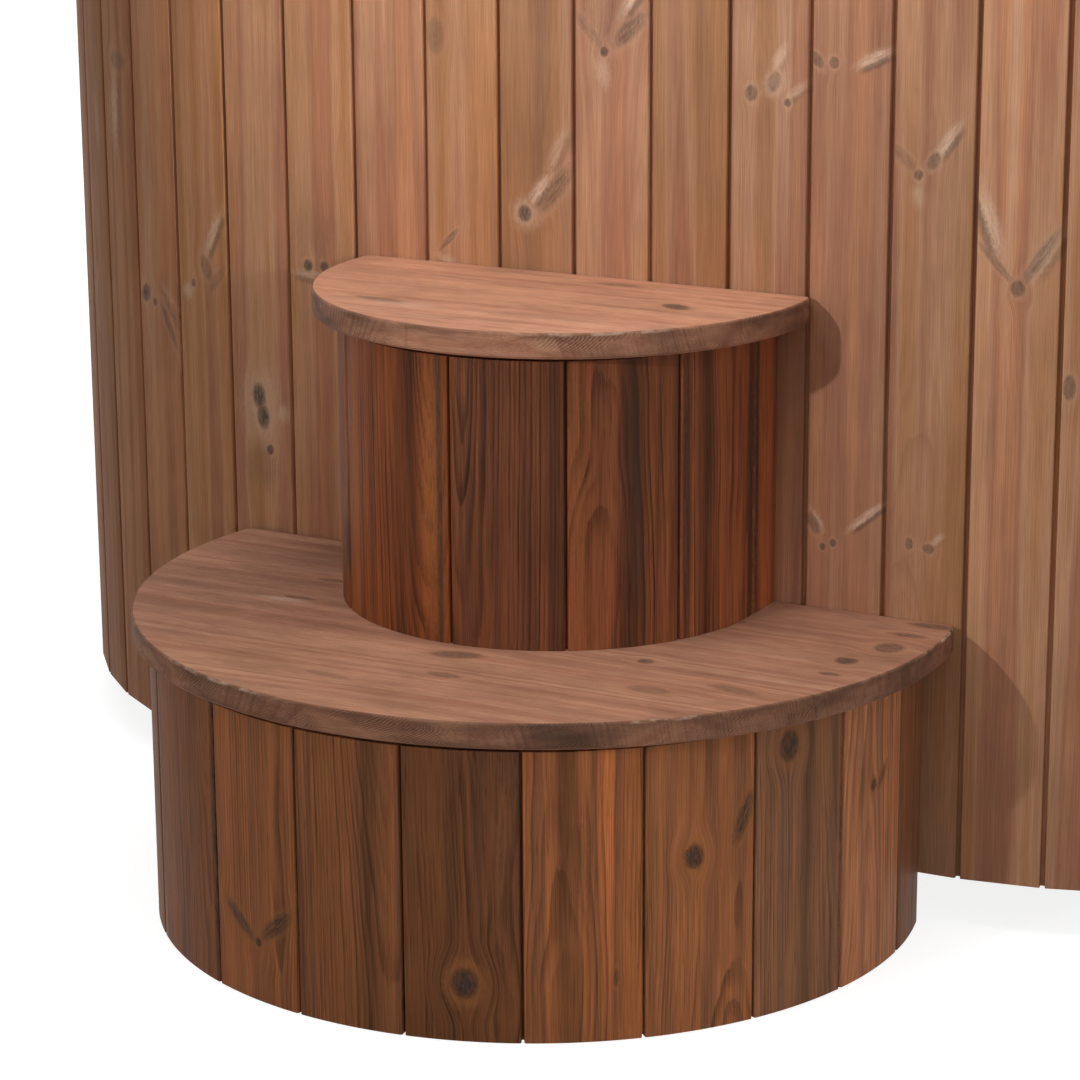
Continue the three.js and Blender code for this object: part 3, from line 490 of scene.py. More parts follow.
@dataclass(frozen=True)
class SawnWood(Finish):
    """Plain wood of the hidden frame: a face grain along the tub and plies on the cut edges."""

    name: str
    light: str
    dark: str
    ply: float

    def build(self) -> bpy.types.Material:
        """Makes the wood's material."""
        sheet = NodeSheet(self.name)
        place = sheet.place()
        face = sheet.noise(sheet.stretched(place, (4.0, 90.0, 90.0)), 4.0)
        fibre = sheet.noise(sheet.stretched(place, (25.0, 900.0, 900.0)), 2.0)
        share = sheet.total(sheet.product(face, 0.7), sheet.product(fibre, 0.3))
        colour = sheet.ramp(share, [paint(self.dark), paint(self.light)], 0.35, 0.65)
        up = sheet.split(place)[2]
        layer = sheet.scaled(sheet.math("SINE", sheet.product(up, 2300.0)), 0.5, 0.5)
        upright = sheet.math("ABSOLUTE", sheet.split(sheet.node("ShaderNodeTexCoord").outputs["Normal"])[2])
        edge = sheet.product(sheet.smooth(upright, 0.6, 0.3), sheet.smooth(layer, 0.4, 0.7), self.ply)
        colour = sheet.mix(edge, colour, paint("7a5836"))
        sheet.bump(fibre, 0.2, 0.0005)
        return sheet.finish(Base_Color=colour, Roughness=0.8, Specular_IOR_Level=0.3)


@dataclass(frozen=True)
class Metal(Finish):
    """Turned or rolled metal with fine tool marks along one axis."""

    name: str
    colour: str
    roughness: float
    marks: Triple

    def build(self) -> bpy.types.Material:
        """Makes the metal's material."""
        sheet = NodeSheet(self.name)
        place = sheet.place()
        lines = sheet.noise(sheet.stretched(place, self.marks), 2.0)
        stain = sheet.noise(sheet.stretched(place, (60.0,) * 3), 3.0)
        full = paint(self.colour)
        dull = tuple(0.78 * part for part in full[:3]) + (1.0,)
        colour = sheet.ramp(stain, [dull, full], 0.3, 0.6)
        sheet.bump(lines, 0.12, 0.0003)
        rough = sheet.total(sheet.scaled(lines, 0.16, self.roughness - 0.08), sheet.scaled(stain, -0.1, 0.05))
        return sheet.finish(Base_Color=colour, Roughness=rough, Metallic=1.0)


WALL_TIMBER = TimberFinish(
    name="wall_timber",
    bands=("90674e", "a7744e", "b38362", "9d6a50", "b17a57", "b88969"),
    late="7d553f",
    knot_and_painted_shade="54463f",
    halo="c4987c",
    pale="d8b9a0",
    ring=0.0034,
    ring_depth=0.24,
    fibre_depth=0.14,
    band=0.042,
    roughness=0.62,
    relief=0.2,
    tick_depth=0.2,
    mottle=0.2,
    halo_depth=0.3,
    edge="4d3d33",
)
RISER_TIMBER = TimberFinish(
    name="riser_timber",
    bands=("45291b", "653a25", "7f482a", "643a27", "9c5b30"),
    late="25150e",
    knot_and_painted_shade="34302f",
    halo="5f3c26",
    pale="a8693a",
    ring=0.0046,
    ring_depth=0.78,
    fibre_depth=0.27,
    band=0.036,
    roughness=0.55,
    relief=0.3,
    tick_depth=0.4,
    mottle=0.16,
    fade=0.3,
    edge="1c1411",
)
TREAD_TIMBER = TimberFinish(
    name="tread_timber",
    bands=("92654f", "9f7059", "a97b61", "9b6a53", "b18468"),
    late="6f4b3a",
    knot_and_painted_shade="5a463c",
    halo="b07c5f",
    pale="d2b29c",
    ring=0.0034,
    ring_depth=0.24,
    fibre_depth=0.15,
    band=0.03,
    roughness=0.62,
    relief=0.45,
    tick_depth=0.3,
    mottle=0.42,
    fibre_run=34.0,
)
LOWER_RISER_TIMBER = replace(
    RISER_TIMBER,
    name="lower_riser_timber",
    bands=("50311d", "6b4228", "7d4b2c", "623e29", "8f5430"),
    ring=0.0038,
    ring_depth=0.72,
    fibre_depth=0.24,
    fade=0.27,
    halo="a4683c",
    halo_depth=0.5,
)
LINER_SHEET = SheetPlastic("liner_sheet", "dfe3e2", "dbe0df", 0.32)
DRAIN_PLASTIC = SheetPlastic("drain_plastic", "dfe0dd", "d0d2d0", 0.4, 700.0)
GRIP_PLASTIC = SheetPlastic("grip_plastic", "26282b", "1c1d20", 0.55, 1600.0)
FOAM = Foam("foam")
PLYWOOD = SawnWood("plywood", "c8a678", "a88455", 0.8)
FRAME_TIMBER = SawnWood("frame_timber", "b79a70", "96784f", 0.0)
VALVE_BRASS = Metal("valve_brass", "c9c3b4", 0.3, (120.0, 2400.0, 120.0))
VALVE_STEEL = Metal("valve_steel", "c4c7c9", 0.28, (90.0, 1800.0, 1800.0))


@dataclass(frozen=True)
class Mark:
    """A knot, spot or wing on a board, or a patch or stripe of painted shade, in millimetres and degrees from the
    board's length. Pale below zero shade.
    """

    across: float
    along: float
    length: float
    width: float
    lean: float = 0.0
    shade: float = 1.0


def spot(across: float, along: float, size: float, shade: float = 0.9) -> Mark:
    """Returns a small round mark."""
    return Mark(across, along, size * 1.15, size, 0.0, shade)


def wing(start: tuple[float, float], end: tuple[float, float], width: float, shade: float) -> Mark:
    """Returns a streak from one point of a board to another."""
    across, along = end[0] - start[0], end[1] - start[1]
    middle = ((start[0] + end[0]) / 2, (start[1] + end[1]) / 2)
    lean = math.degrees(math.atan2(across, along))
    return Mark(*middle, math.hypot(across, along) / 2, width, lean, shade)


@dataclass
class Board:
    """One board: where it starts along its path, how wide it is, and what its timber looks like."""

    start: float
    width: float
    seed: float
    tone: Triple
    marks: list[Mark] = field(default_factory=list)

    def values(self) -> dict[str, float | Triple]:
        """Returns the board's attributes by name, in metres and radians."""
        made: dict[str, float | Triple] = {"seed": self.seed, "tone": self.tone}
        for n in range(MARKS):
            mark = self.marks[n] if n < len(self.marks) else Mark(0, 0, 1, 1, 0, 0)
            made[f"mark_{n}"] = (mark.across / 1000, mark.along / 1000, math.radians(mark.lean))
            made[f"mark_{n}_size"] = (mark.length / 1000, mark.width / 1000, mark.shade)
        return made


def store(mesh: bpy.types.Mesh, name: str, values: Sequence[float | Triple], domain: str = "POINT") -> None:
    """Writes a named attribute.

    Args:
        mesh: The mesh that takes it.
        name: The attribute's name.
        values: A number or a triple for each element.
        domain: The kind of element.
    """
    if isinstance(values[0], tuple):
        layer = mesh.attributes.new(name, "FLOAT_VECTOR", domain)
        layer.data.foreach_set("vector", [part for value in values for part in value])
    else:
        layer = mesh.attributes.new(name, "FLOAT", domain)
        layer.data.foreach_set("value", values)


def show(name: str, mesh: bpy.types.Mesh) -> bpy.types.Object:
    """Puts a mesh into the scene as an object at the origin."""
    made = bpy.data.objects.new(name, mesh)
    bpy.context.scene.collection.objects.link(made)
    return made


def settle(piece: bpy.types.Object, body: Body, slot: str, *nodes: str) -> None:
    """Lets a finished piece ride on its body in place of its frame nodes.

    Args:
        piece: The finished piece.
        body: The body it moves with.
        slot: The name of a material slot; not used.
        *nodes: The frame nodes that it stands for.
    """
    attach(piece, body.value)
    if nodes:
        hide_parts(*nodes)
    LOG.info("%s: %d faces on %s", piece.name, len(piece.data.polygons), body.value)


def nodes_named(start: str) -> list[str]:
    """Returns the frame nodes whose names start with the given words."""
    return sorted(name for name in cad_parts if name.startswith(start))


class BoardTree:
    """A node tree that lays boards side by side along a path and keeps each board's own grain coordinates."""

    INPUTS = (
        ("Boards", "NodeSocketGeometry"),
        ("Path", "NodeSocketObject"),
        ("Blank", "NodeSocketObject"),
        ("Foot", "NodeSocketFloat"),
        ("Length", "NodeSocketFloat"),
        ("Finish", "NodeSocketMaterial"),
    )

    def __init__(self) -> None:
        """Builds the tree."""
        self.tree = bpy.data.node_groups.new("boards_along_a_path", "GeometryNodeTree")
        face = self.tree.interface
        self.keys = {name: face.new_socket(name, in_out="INPUT", socket_type=kind).identifier for name, kind in self.INPUTS}
        face.new_socket("Geometry", in_out="OUTPUT", socket_type="NodeSocketGeometry")
        self._fill()

    def _node(self, kind: str, links: dict[str | int, Socket | float | str | Triple], **settings: object) -> bpy.types.Node:
        """Adds a node, links or sets its inputs, and returns it."""
        made = self.tree.nodes.new(kind)
        for name, setting in settings.items():
            setattr(made, name, setting)
        for key, value in links.items():
            if isinstance(value, bpy.types.NodeSocket):
                self.tree.links.new(value, made.inputs[key])
            else:
                made.inputs[key].default_value = value
        return made

    def _named(self, name: str) -> Socket:
        """Returns a number that each board or vertex carries."""
        return self._node("GeometryNodeInputNamedAttribute", {"Name": name}, data_type="FLOAT").outputs[0]

    def _math(self, operation: str, first: Socket, second: Socket | float) -> Socket:
        """Returns the result of a Math node."""
        return self._node("ShaderNodeMath", {0: first, 1: second}, operation=operation).outputs[0]

    def _fill(self) -> None:
        """Adds the nodes: a blank per board, laid on the path, with its grain stored and its finish set."""
        given = self.tree.nodes.new("NodeGroupInput").outputs
        path = self._node("GeometryNodeObjectInfo", {"Object": given["Path"]}).outputs["Geometry"]
        blank = self._node("GeometryNodeObjectInfo", {"Object": given["Blank"]}).outputs["Geometry"]
        laid = self._node("GeometryNodeInstanceOnPoints", {"Points": given["Boards"], "Instance": blank})
        real = self._node("GeometryNodeRealizeInstances", {"Geometry": laid.outputs[0]})

        part = self._node("ShaderNodeSeparateXYZ", {0: self.tree.nodes.new("GeometryNodeInputPosition").outputs[0]}).outputs
        width = self._named("width")
        aside = self._math("ADD", self._math("MULTIPLY", part[0], width), self._named("inset"))
        level = self._math("ADD", self._math("MULTIPLY", part[2], given["Length"]), given["Foot"])
        middle = self._math("SUBTRACT", aside, self._math("MULTIPLY", width, 0.5))
        grain = self._node("ShaderNodeCombineXYZ", {0: middle, 1: part[1], 2: level}).outputs[0]
        kept = self._node(
            "GeometryNodeStoreNamedAttribute",
            {"Geometry": real.outputs[0], "Name": "grain", "Value": grain},
            data_type="FLOAT_VECTOR",
            domain="POINT",
        )

        where = self._math("ADD", self._named("start"), aside)
        sample = self._node("GeometryNodeSampleCurve", {"Curves": path, "Length": where}, mode="LENGTH")
        inward = self._node(
            "ShaderNodeVectorMath",
            {0: (0.0, 0.0, 1.0), 1: sample.outputs["Tangent"]},
            operation="CROSS_PRODUCT",
        )
        sunk = self._node("ShaderNodeVectorMath", {0: inward.outputs[0], "Scale": part[1]}, operation="SCALE")
        lifted = self._node("ShaderNodeCombineXYZ", {2: level}).outputs[0]
        on_path = self._node("ShaderNodeVectorMath", {0: sample.outputs["Position"], 1: sunk.outputs[0]}, operation="ADD")
        final = self._node("ShaderNodeVectorMath", {0: on_path.outputs[0], 1: lifted}, operation="ADD")
        placed = self._node("GeometryNodeSetPosition", {"Geometry": kept.outputs[0], "Position": final.outputs[0]})
        dressed = self._node("GeometryNodeSetMaterial", {"Geometry": placed.outputs[0], "Material": given["Finish"]})
        out = self.tree.nodes.new("NodeGroupOutput")
        self.tree.links.new(dressed.outputs[0], out.inputs[0])

    def lay(
        self,
        name: str,
        boards: Sequence[Board],
        path: Sequence[Vector],
        blank: bpy.types.Mesh,
        levels: tuple[float, float],
        finish: Finish,
    ) -> bpy.types.Object:
        """Lays boards along a path.

        Args:
            name: The piece's name.
            boards: The boards in order.
            path: The points of the path at floor level.
            blank: A board of unit width and length.
            levels: The lower and upper end of the boards.
            finish: The boards' finish.

        Returns:
            The boards as one plain mesh object.
        """
        seeds = bpy.data.meshes.new(name)
        seeds.from_pydata([(0.0, 0.0, 0.0)] * len(boards), [], [])
        store(seeds, "start", [board.start for board in boards])
        store(seeds, "width", [board.width for board in boards])
        columns = [board.values() for board in boards]
        for key in columns[0]:
            store(seeds, key, [column[key] for column in columns])
        piece = show(name, seeds)

        curve = bpy.data.curves.new(f"{name}_path", "CURVE")
        curve.dimensions = "3D"
        spline = curve.splines.new("POLY")
        spline.points.add(len(path) - 1)
        for point, at in zip(spline.points, path):
            point.co = (*at, 1.0)
        guide = show(f"{name}_path", curve)
        pattern = show(f"{name}_blank", blank)

        modifier = piece.modifiers.new("boards", "NODES")
        modifier.node_group = self.tree
        modifier[self.keys["Path"]] = guide
        modifier[self.keys["Blank"]] = pattern
        modifier[self.keys["Foot"]] = levels[0]
        modifier[self.keys["Length"]] = levels[1] - levels[0]
        modifier[self.keys["Finish"]] = finish.material()
        bpy.context.view_layer.update()
        laid = bpy.data.meshes.new_from_object(piece.evaluated_get(bpy.context.evaluated_depsgraph_get()))
        piece.modifiers.clear()
        piece.data = laid
        laid.materials.clear()
        laid.materials.append(finish.material())
        laid.set_sharp_from_angle(angle=math.radians(35))
        for extra in (guide, pattern):
            bpy.data.objects.remove(extra)
        return piece


def blank_board(section: Sequence[Triple], name: str) -> bpy.types.Mesh:
    """Makes a board of unit width and length from its section.

    Args:
        section: Points round the board: share of the width, offset and depth.
        name: The mesh's name.

    Returns:
        The mesh, with the offset from the share stored as an attribute.
    """
    count = len(section)
    rings = [[(share, depth, level) for share, _, depth in section] for level in (0.0, 1.0)]
    faces = [[i, (i + 1) % count, count + (i + 1) % count, count + i] for i in range(count)]
    faces.append(list(range(count))[::-1])
    faces.append([count + i for i in range(count)])
    mesh = bpy.data.meshes.new(name)
    mesh.from_pydata(rings[0] + rings[1], [], faces)
    mesh.shade_smooth()
    store(mesh, "inset", [offset for _, offset, _ in section] * 2)
    return mesh


def eased(share: float, edge: float, ease: float, steps: int, leading: bool) -> list[Triple]:
    """Rounds the front corner of a board's section.

    Args:
        share: The share of the width at this edge.
        edge: The edge's offset from there.
        ease: The radius.
        steps: The number of straight pieces in the corner.
        leading: Whether the board starts here, so that the corner is walked from side to face.

    Returns:
        The corner's points in walking order.
    """
    points = []
    for n in range(steps + 1):
        turn = math.pi / 2 * n / steps
        if leading:
            points.append((share, edge + ease * (1 - math.cos(turn)), ease * (1 - math.sin(turn))))
        else:
            points.append((share, edge - ease * (1 - math.sin(turn)), ease * (1 - math.cos(turn))))
    return points


@dataclass
class WallBoards:
    """The tub's wall: tongued boards laid flat between seams on an outline with straight sides and round ends."""

    count: int = 60
    groove: float = 0.005
    groove_depth: float = 0.007
    thick: float = 0.018
    ease: float = 0.0016
    tongue: float = 0.005
    tongue_end: float = 0.0019

    MARKS_BY_BOARD = {
        -9: [wing((-22, 480), (-18, 530), 4, 0.7), Mark(6, 720, 40, 10, 0, -0.3)],
        -8: [Mark(4, 790, 10, 22, 0, 0.4), wing((-14, 690), (-8, 780), 12, -0.6)],
        -7: [
            Mark(-27, 541, 10, 8, 20),
            spot(-9, 533, 4),
            wing((4, 536), (36, 486), 6, 0.75),
            wing((14, 540), (38, 512), 5, 0.5),
            wing((8, 556), (40, 530), 6, -0.3),
        ],
        -6: [
            Mark(6, 585, 14, 8, -25, 0.5),
            spot(-16, 566, 4, 0.6),
            wing((4, 596), (34, 650), 7, -0.75),
            spot(-26, 556, 8, -0.6),
            wing((10, 560), (38, 590), 6, 0.4),
        ],
        -5: [
            Mark(-3, 455, 14, 9, -4, 1.0),
            Mark(2, 434, 14, 8.5, -6, 1.0),
            spot(11, 398, 5),
            Mark(-2, 446, 44, 28, 0, -0.4),
            spot(30, 440, 9, -0.5),
            Mark(0, 380, 26, 26, 0, 0.22),
        ],
        -4: [spot(-17, 604, 5.5), spot(3, 604, 5), wing((-36, 596), (8, 592), 6, -0.55), Mark(-8, 640, 30, 26, 0, 0.18)],
        -2: [Mark(-29, 852, 18, 10, 0, 0.45), wing((-27, 634), (-6, 656), 3.5, 0.7), wing((-32, 628), (-8, 622), 5, -0.5)],
        -1: [
            spot(-13, 679, 7.5, 0.95),
            wing((4, 682), (40, 730), 9, 0.7),
            wing((-8, 688), (16, 720), 7, -0.9),
            wing((14, 722), (34, 768), 7, -0.45),
            Mark(-12, 679, 16, 15, 0, -0.45),
        ],
        0: [
            wing((-41, 884), (-9, 848), 6, 0.5),
            spot(-8, 846, 4.5),
            wing((2, 852), (36, 886), 9, 0.75),
            wing((8, 878), (40, 926), 7, -0.9),
            wing((-14, 842), (-6, 810), 8, -0.45),
            Mark(-8, 890, 44, 26, 0, 0.3),
        ],
        2: [
            spot(-19, 815, 6.5, 0.7),
            Mark(5, 827, 10, 6.5, 20, 0.55),
            spot(19, 808, 3.6, 0.8),
            wing((4, 838), (16, 862), 6, -0.6),
            Mark(6, 826, 15, 12, 20, -0.35),
            wing((18, 812), (40, 828), 5, -0.5),
        ],
        3: [
            spot(-18, 849, 5, 0.65),
            wing((-42, 858), (-30, 844), 5, 0.7),
            wing((4, 846), (41, 864), 6, -0.8),
            wing((-38, 406), (-27, 386), 5.5, 0.6),
            wing((-33, 410), (-21, 388), 3.5, -0.6),
            spot(-22, 373, 3.4, 0.85),
            spot(-11, 378, 3.6, 0.85),
            wing((4, 392), (42, 424), 4.5, -0.9),
        ],
        4: [
            wing((-42, 774), (-18, 752), 6, 0.45),
            spot(-15, 748, 4.5, 0.8),
            Mark(0, 762, 9, 5.5, 30, 0.6),
            wing((2, 764), (26, 800), 6, -0.75),
            wing((-16, 740), (-14, 716), 7, -0.35),
            Mark(-16, 387, 6, 4, 0, 0.65),
            Mark(4, 384, 5, 6, 0, 0.6),
            wing((7, 388), (19, 400), 4, -0.55),
        ],
        5: [
            wing((-40, 690), (-4, 650), 4, 0.6),
            wing((4, 650), (38, 704), 6, 0.7),
            wing((-40, 745), (-14, 668), 8, -0.8),
            wing((12, 656), (41, 704), 8, -0.5),
            spot(0, 646, 7, 0.7),
        ],
        6: [Mark(-33, 554, 12, 6, 0, 0.7)],
    }

    # Lightness and warmth of the boards that show: partly each board's own tone, partly painted light set board by
    # board where the lamps fall short, with the boards at the left end darkened as painted shade.
    TONES_AND_PAINTED_LIGHT_BY_BOARD = {
        -10: (0.64, 0.9),
        -9: (0.66, 0.75),
        -8: (0.83, 0.5),
        -7: (1.03, 0.14),
        -6: (1.08, 0.19),
        -5: (1.17, -0.1),
        -4: (1.14, 0.02),
        -3: (1.23, -0.13),
        -2: (1.17, -0.13),
        -1: (1.01, -0.27),
        0: (1.2, -0.27),
        1: (0.94, -0.17),
        2: (1.06, -0.34),
        3: (1.06, -0.22),
        4: (0.97, -0.14),
        5: (1.2, -0.13),
        6: (1.15, -0.2),
    }

    def __post_init__(self) -> None:
        """Takes the wall's outline and levels from the frame."""
        low, high = Vector(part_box("wall_panel_01")[0]), Vector(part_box("wall_panel_01")[1])
        self.levels = (low.z, high.z)
        self.radius = -low.y
        self.half_straight = max(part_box(name)[1].x for name in nodes_named("wall_panel")) - self.radius
        self.pitch = (4 * self.half_straight + 2 * math.pi * self.radius) / self.count

    def outline(self, distance: float) -> Vector:
        """Returns the point of the outline at a distance from the middle of the front."""
        arc = math.pi * self.radius
        loop = 4 * self.half_straight + 2 * arc
        rest = distance % loop
        for side in (1, -1):
            if rest < self.half_straight:
                return Vector((side * rest, -side * self.radius, 0))
            rest -= self.half_straight
            if rest < arc:
                turn = -math.pi / 2 + rest / self.radius
                x = self.half_straight + self.radius * math.cos(turn)
                return Vector((side * x, side * self.radius * math.sin(turn), 0))
            rest -= arc
            if rest < self.half_straight:
                return Vector((side * (self.half_straight - rest), side * self.radius, 0))
            rest -= self.half_straight
        return Vector((0, -self.radius, 0))

    def marks(self, board: int, chance: random.Random) -> list[Mark]:
        """Returns the marks of a board: its own where it shows, chance ones elsewhere."""
        if -10 <= board <= 8:
            return self.MARKS_BY_BOARD.get(board, [])
        made = []
        for _ in range(chance.choice((0, 0, 1, 1))):
            across, along = chance.uniform(-26, 26), chance.uniform(140, 980)
            size = chance.uniform(4, 8)
            side = chance.choice((-1, 1))
            made.append(spot(across, along, size, 0.8))
            made.append(wing((across + side * size, along + size), (side * 41, along + chance.uniform(24, 50)), 5, -0.5))
        return made[:MARKS]

    def section(self) -> list[Triple]:
        """Returns a board's section: slot side, face, tongue side and back."""
        half = self.groove / 2
        tongue_back = self.groove_depth + self.tongue
        return [
            (0.0, half, self.thick),
            *eased(0.0, half, self.ease, 3, True),
            *eased(1.0, -half, self.ease, 3, False),
            (1.0, -half, self.groove_depth),
            (1.0, self.tongue_end, self.groove_depth),
            (1.0, self.tongue_end, tongue_back),
            (1.0, -half, tongue_back),
            (1.0, -half, self.thick),
        ]

    def build(self, tree: BoardTree) -> None:
        """Lays the boards and lets them stand for the frame's panels."""
        chance = random.Random(11)
        first = -self.count // 2
        seams = [self.outline((first + i - 0.5) * self.pitch) for i in range(self.count + 1)]
        boards = []
        start = 0.0
        for i in range(self.count):
            width = (seams[i + 1] - seams[i]).length
            by_chance = (chance.gauss(1.0, 0.05), chance.gauss(0.0, 0.16))
            tone = (*self.TONES_AND_PAINTED_LIGHT_BY_BOARD.get(first + i, by_chance), chance.uniform(0.5, 1.2))
            boards.append(Board(start, width, chance.uniform(0, 90), tone, self.marks(first + i, chance)))
            start += width
        blank = blank_board(self.section(), "wall_board_blank")
        piece = tree.lay("wall_boards", boards, seams, blank, self.levels, WALL_TIMBER)
        settle(piece, Body.TUB, "wall_timber", *nodes_named("wall_panel"))


@dataclass
class StepTier:
    """One tier of the steps: upright boards round a half-round front, under a half-round glued tread."""

    name: str
    radius: float
    set_off: float
    straight_sides: bool
    shares: tuple[float, ...]
    tones_and_painted_light: tuple[Triple, ...]
    marks: dict[int, list[Mark]]
    glue_lines: tuple[float, ...]
    tread_marks: dict[int, list[Mark]]
    tread_seed: float
    timber: TimberFinish = RISER_TIMBER
    tread_light: float = 1.0
    tread_warm: float = 0.0
    tip_wear: float = 0.0
    corner: float = 0.012
    ease: float = 0.0022
    riser_thick: float = 0.02
    joint: float = 0.0026
    joint_depth: float = 0.008
    riser_ease: float = 0.002

    def __post_init__(self) -> None:
        """Takes the tier's place and sizes from the frame."""
        low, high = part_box(f"{self.name}_tread")
        self.tread_low, self.top = low.z, high.z
        self.back = high.y
        self.centre = (low.x + high.x) / 2
        self.tread_radius = (high.x - low.x) / 2
        self.tread_set_off = (high.y - low.y) - self.tread_radius
        foot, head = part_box(f"{self.name}_riser_01")
        self.levels = (foot.z, head.z)

    def front(self) -> list[Vector]:
        """Returns the path of the riser's face from the wall, round the front and back."""
        turn = 0.0 if self.straight_sides else math.asin(self.set_off / self.radius)
        steps = 180
        points = []
        for n in range(steps + 1):
            angle = math.pi - turn + (math.pi + 2 * turn) * n / steps
            x = self.centre + self.radius * math.cos(angle)
            points.append(Vector((x, self.back - self.set_off + self.radius * math.sin(angle), 0)))
        if self.straight_sides:
            points.insert(0, Vector((self.centre - self.radius, self.back, 0)))
            points.append(Vector((self.centre + self.radius, self.back, 0)))
        return points

    def build_risers(self, tree: BoardTree) -> None:
        """Lays the upright boards and lets them stand for the frame's ones."""
        path = self.front()
        length = sum((b - a).length for a, b in zip(path, path[1:]))
        chance = random.Random(len(self.shares))
        boards = []
        start = 0.0
        for n, share in enumerate(self.shares):
            width = share / sum(self.shares) * length
            chance.uniform(0.95, 1.05)
            boards.append(Board(start, width, chance.uniform(0, 90), self.tones_and_painted_light[n], self.marks.get(n, [])))
            start += width
        half = self.joint / 2
        across = 14
        face = [(n / across, 0.0, 0.0) for n in range(1, across)]
        back = [((across - n) / across, 0.0, self.riser_thick) for n in range(1, across)]
        shut = 0.0001
        section = [
            (0.0, shut, self.riser_thick),
            (0.0, shut, self.joint_depth),
            (0.0, half, self.joint_depth),
            *eased(0.0, half, self.riser_ease, 3, True),
            *face,
            *eased(1.0, -half, self.riser_ease, 3, False),
            (1.0, -half, self.joint_depth),
            (1.0, -shut, self.joint_depth),
            (1.0, -shut, self.riser_thick),
            *back,
        ]
        blank = blank_board(section, f"{self.name}_riser_blank")
        piece = tree.lay(f"{self.name}_risers", boards, path, blank, self.levels, self.timber)
        settle(piece, Body.STEPS, "riser_timber", *nodes_named(f"{self.name}_riser"))

    def tread_outline(self) -> list[tuple[Vector, Vector]]:
        """Returns the points of the tread's edge with their outward directions, from the back left corner round."""
        radius, set_off, corner = self.tread_radius, self.tread_set_off, self.corner
        corner_x = math.sqrt((radius - corner) ** 2 - (set_off - corner) ** 2)
        turn = math.degrees(math.atan2(set_off - corner, corner_x))
        made: list[tuple[Vector, Vector]] = []

        def arc(middle: tuple[float, float], size: float, start: float, end: float, steps: int) -> None:
            """Adds an arc from one angle to another."""
            for n in range(steps):
                angle = math.radians(start + (end - start) * n / steps)
                out = Vector((math.cos(angle), math.sin(angle)))
                made.append((Vector(middle) + size * out, out))

        x, y = self.centre, self.back
        arc((x - corner_x, y - corner), corner, 90, 180 - turn, 10)
        arc((x, y - set_off), radius, 180 - turn, 360 + turn, 320)
        arc((x + corner_x, y - corner), corner, turn, 90, 10)
        made.append((Vector((x + corner_x, y)), Vector((0, 1))))
        return made

    def build_tread(self) -> None:
        """Builds the tread as glued staves with a worn upper edge, and lets it stand for the frame's one."""
        outline = self.tread_outline()
        around = [0.0]
        for (a, _), (b, _) in zip(outline, outline[1:]):
            around.append(around[-1] + (b - a).length)
        steps = 4
        rows = []
        for n in range(steps + 1):
            turn = math.pi / 2 * n / steps
            rows.append((self.ease * (1 - math.sin(turn)), self.top - self.ease * (1 - math.cos(turn)), 0.0 if n == 0 else 1.0))
        rows.append((0.0, self.top - self.ease - 0.0025, 0.0))
        rows.append((0.0, self.tread_low + self.ease, 0.0))
        rows.append((self.ease, self.tread_low, 0.0))

        shape = bmesh.new()
        rim = shape.verts.layers.float_vector.new("rim")
        rings = []
        for inset, level, wear in rows:
            ring = []
            for s, (point, out) in zip(around, outline):
                dent = self.dent(s) if wear else 0.0
                at = point - out * (inset + dent * 0.6)
                vert = shape.verts.new((at.x, at.y, level - dent * (0.5 if level > self.top - self.ease else 0.0)))
                vert[rim] = (s, 0.0 if inset >= self.ease else 1.0, wear * self.wear(s / around[-1]))
                ring.append(vert)
            rings.append(ring)
        count = len(outline)
        for low, high in zip(rings, rings[1:]):
            for i in range(count):
                shape.faces.new((low[i], high[i], high[(i + 1) % count], low[(i + 1) % count])).smooth = True
        shape.faces.new(rings[0])
        shape.faces.new(rings[-1][::-1])
        for line in self.glue_lines:
            parts = shape.verts[:] + shape.edges[:] + shape.faces[:]
            bmesh.ops.bisect_plane(shape, geom=parts, plane_co=(0, self.back - line, 0), plane_no=(0, 1, 0))
        bmesh.ops.recalc_face_normals(shape, faces=shape.faces)
        mesh = bpy.data.meshes.new(f"{self.name}_tread_board")
        shape.to_mesh(mesh)
        shape.free()
        self.dress_tread(mesh)
        mesh.set_sharp_from_angle(angle=math.radians(40))
        piece = show(f"{self.name}_tread_board", mesh)
        settle(piece, Body.STEPS, "tread_timber", f"{self.name}_tread")

    def wear(self, share: float) -> float:
        """Returns how bare the upper corner is at a share of the way round, most of all at the right tip."""
        return 1.0 + self.tip_wear * max(0.0, 1.0 - abs(share - TIP_SHARE) / 0.06)

    def dent(self, around: float) -> float:
        """Returns how deep the upper edge is worn at a distance along it."""
        rough = noise.noise(Vector((around * 38, self.tread_seed, 0.0))) + 0.5 * noise.noise(Vector((around * 120, 5.0, self.tread_seed)))
        return 0.0022 * max(0.0, rough - 0.28)

    def dress_tread(self, mesh: bpy.types.Mesh) -> None:
        """Gives the tread its grain along the steps' width and each stave its own timber.

        Args:
            mesh: The tread's mesh.
        """
        store(mesh, "grain", [(self.back - v.co.y, self.top - v.co.z, v.co.x - self.centre) for v in mesh.vertices])
        chance = random.Random(int(self.tread_seed))
        staves = []
        for n in range(len(self.glue_lines) + 1):
            warm = self.tread_warm + chance.uniform(-0.1, 0.1)
            tone = (self.tread_light * chance.uniform(0.95, 1.05), warm, chance.uniform(0.8, 1.1))
            staves.append(Board(0.0, 0.0, chance.uniform(0, 90), tone, self.tread_marks.get(n, [])).values())
        own = [sum(self.back - face.center.y > line for line in self.glue_lines) for face in mesh.polygons]
        for key in staves[0]:
            store(mesh, key, [staves[n][key] for n in own], "FACE")
        mesh.materials.append(TREAD_TIMBER.material())


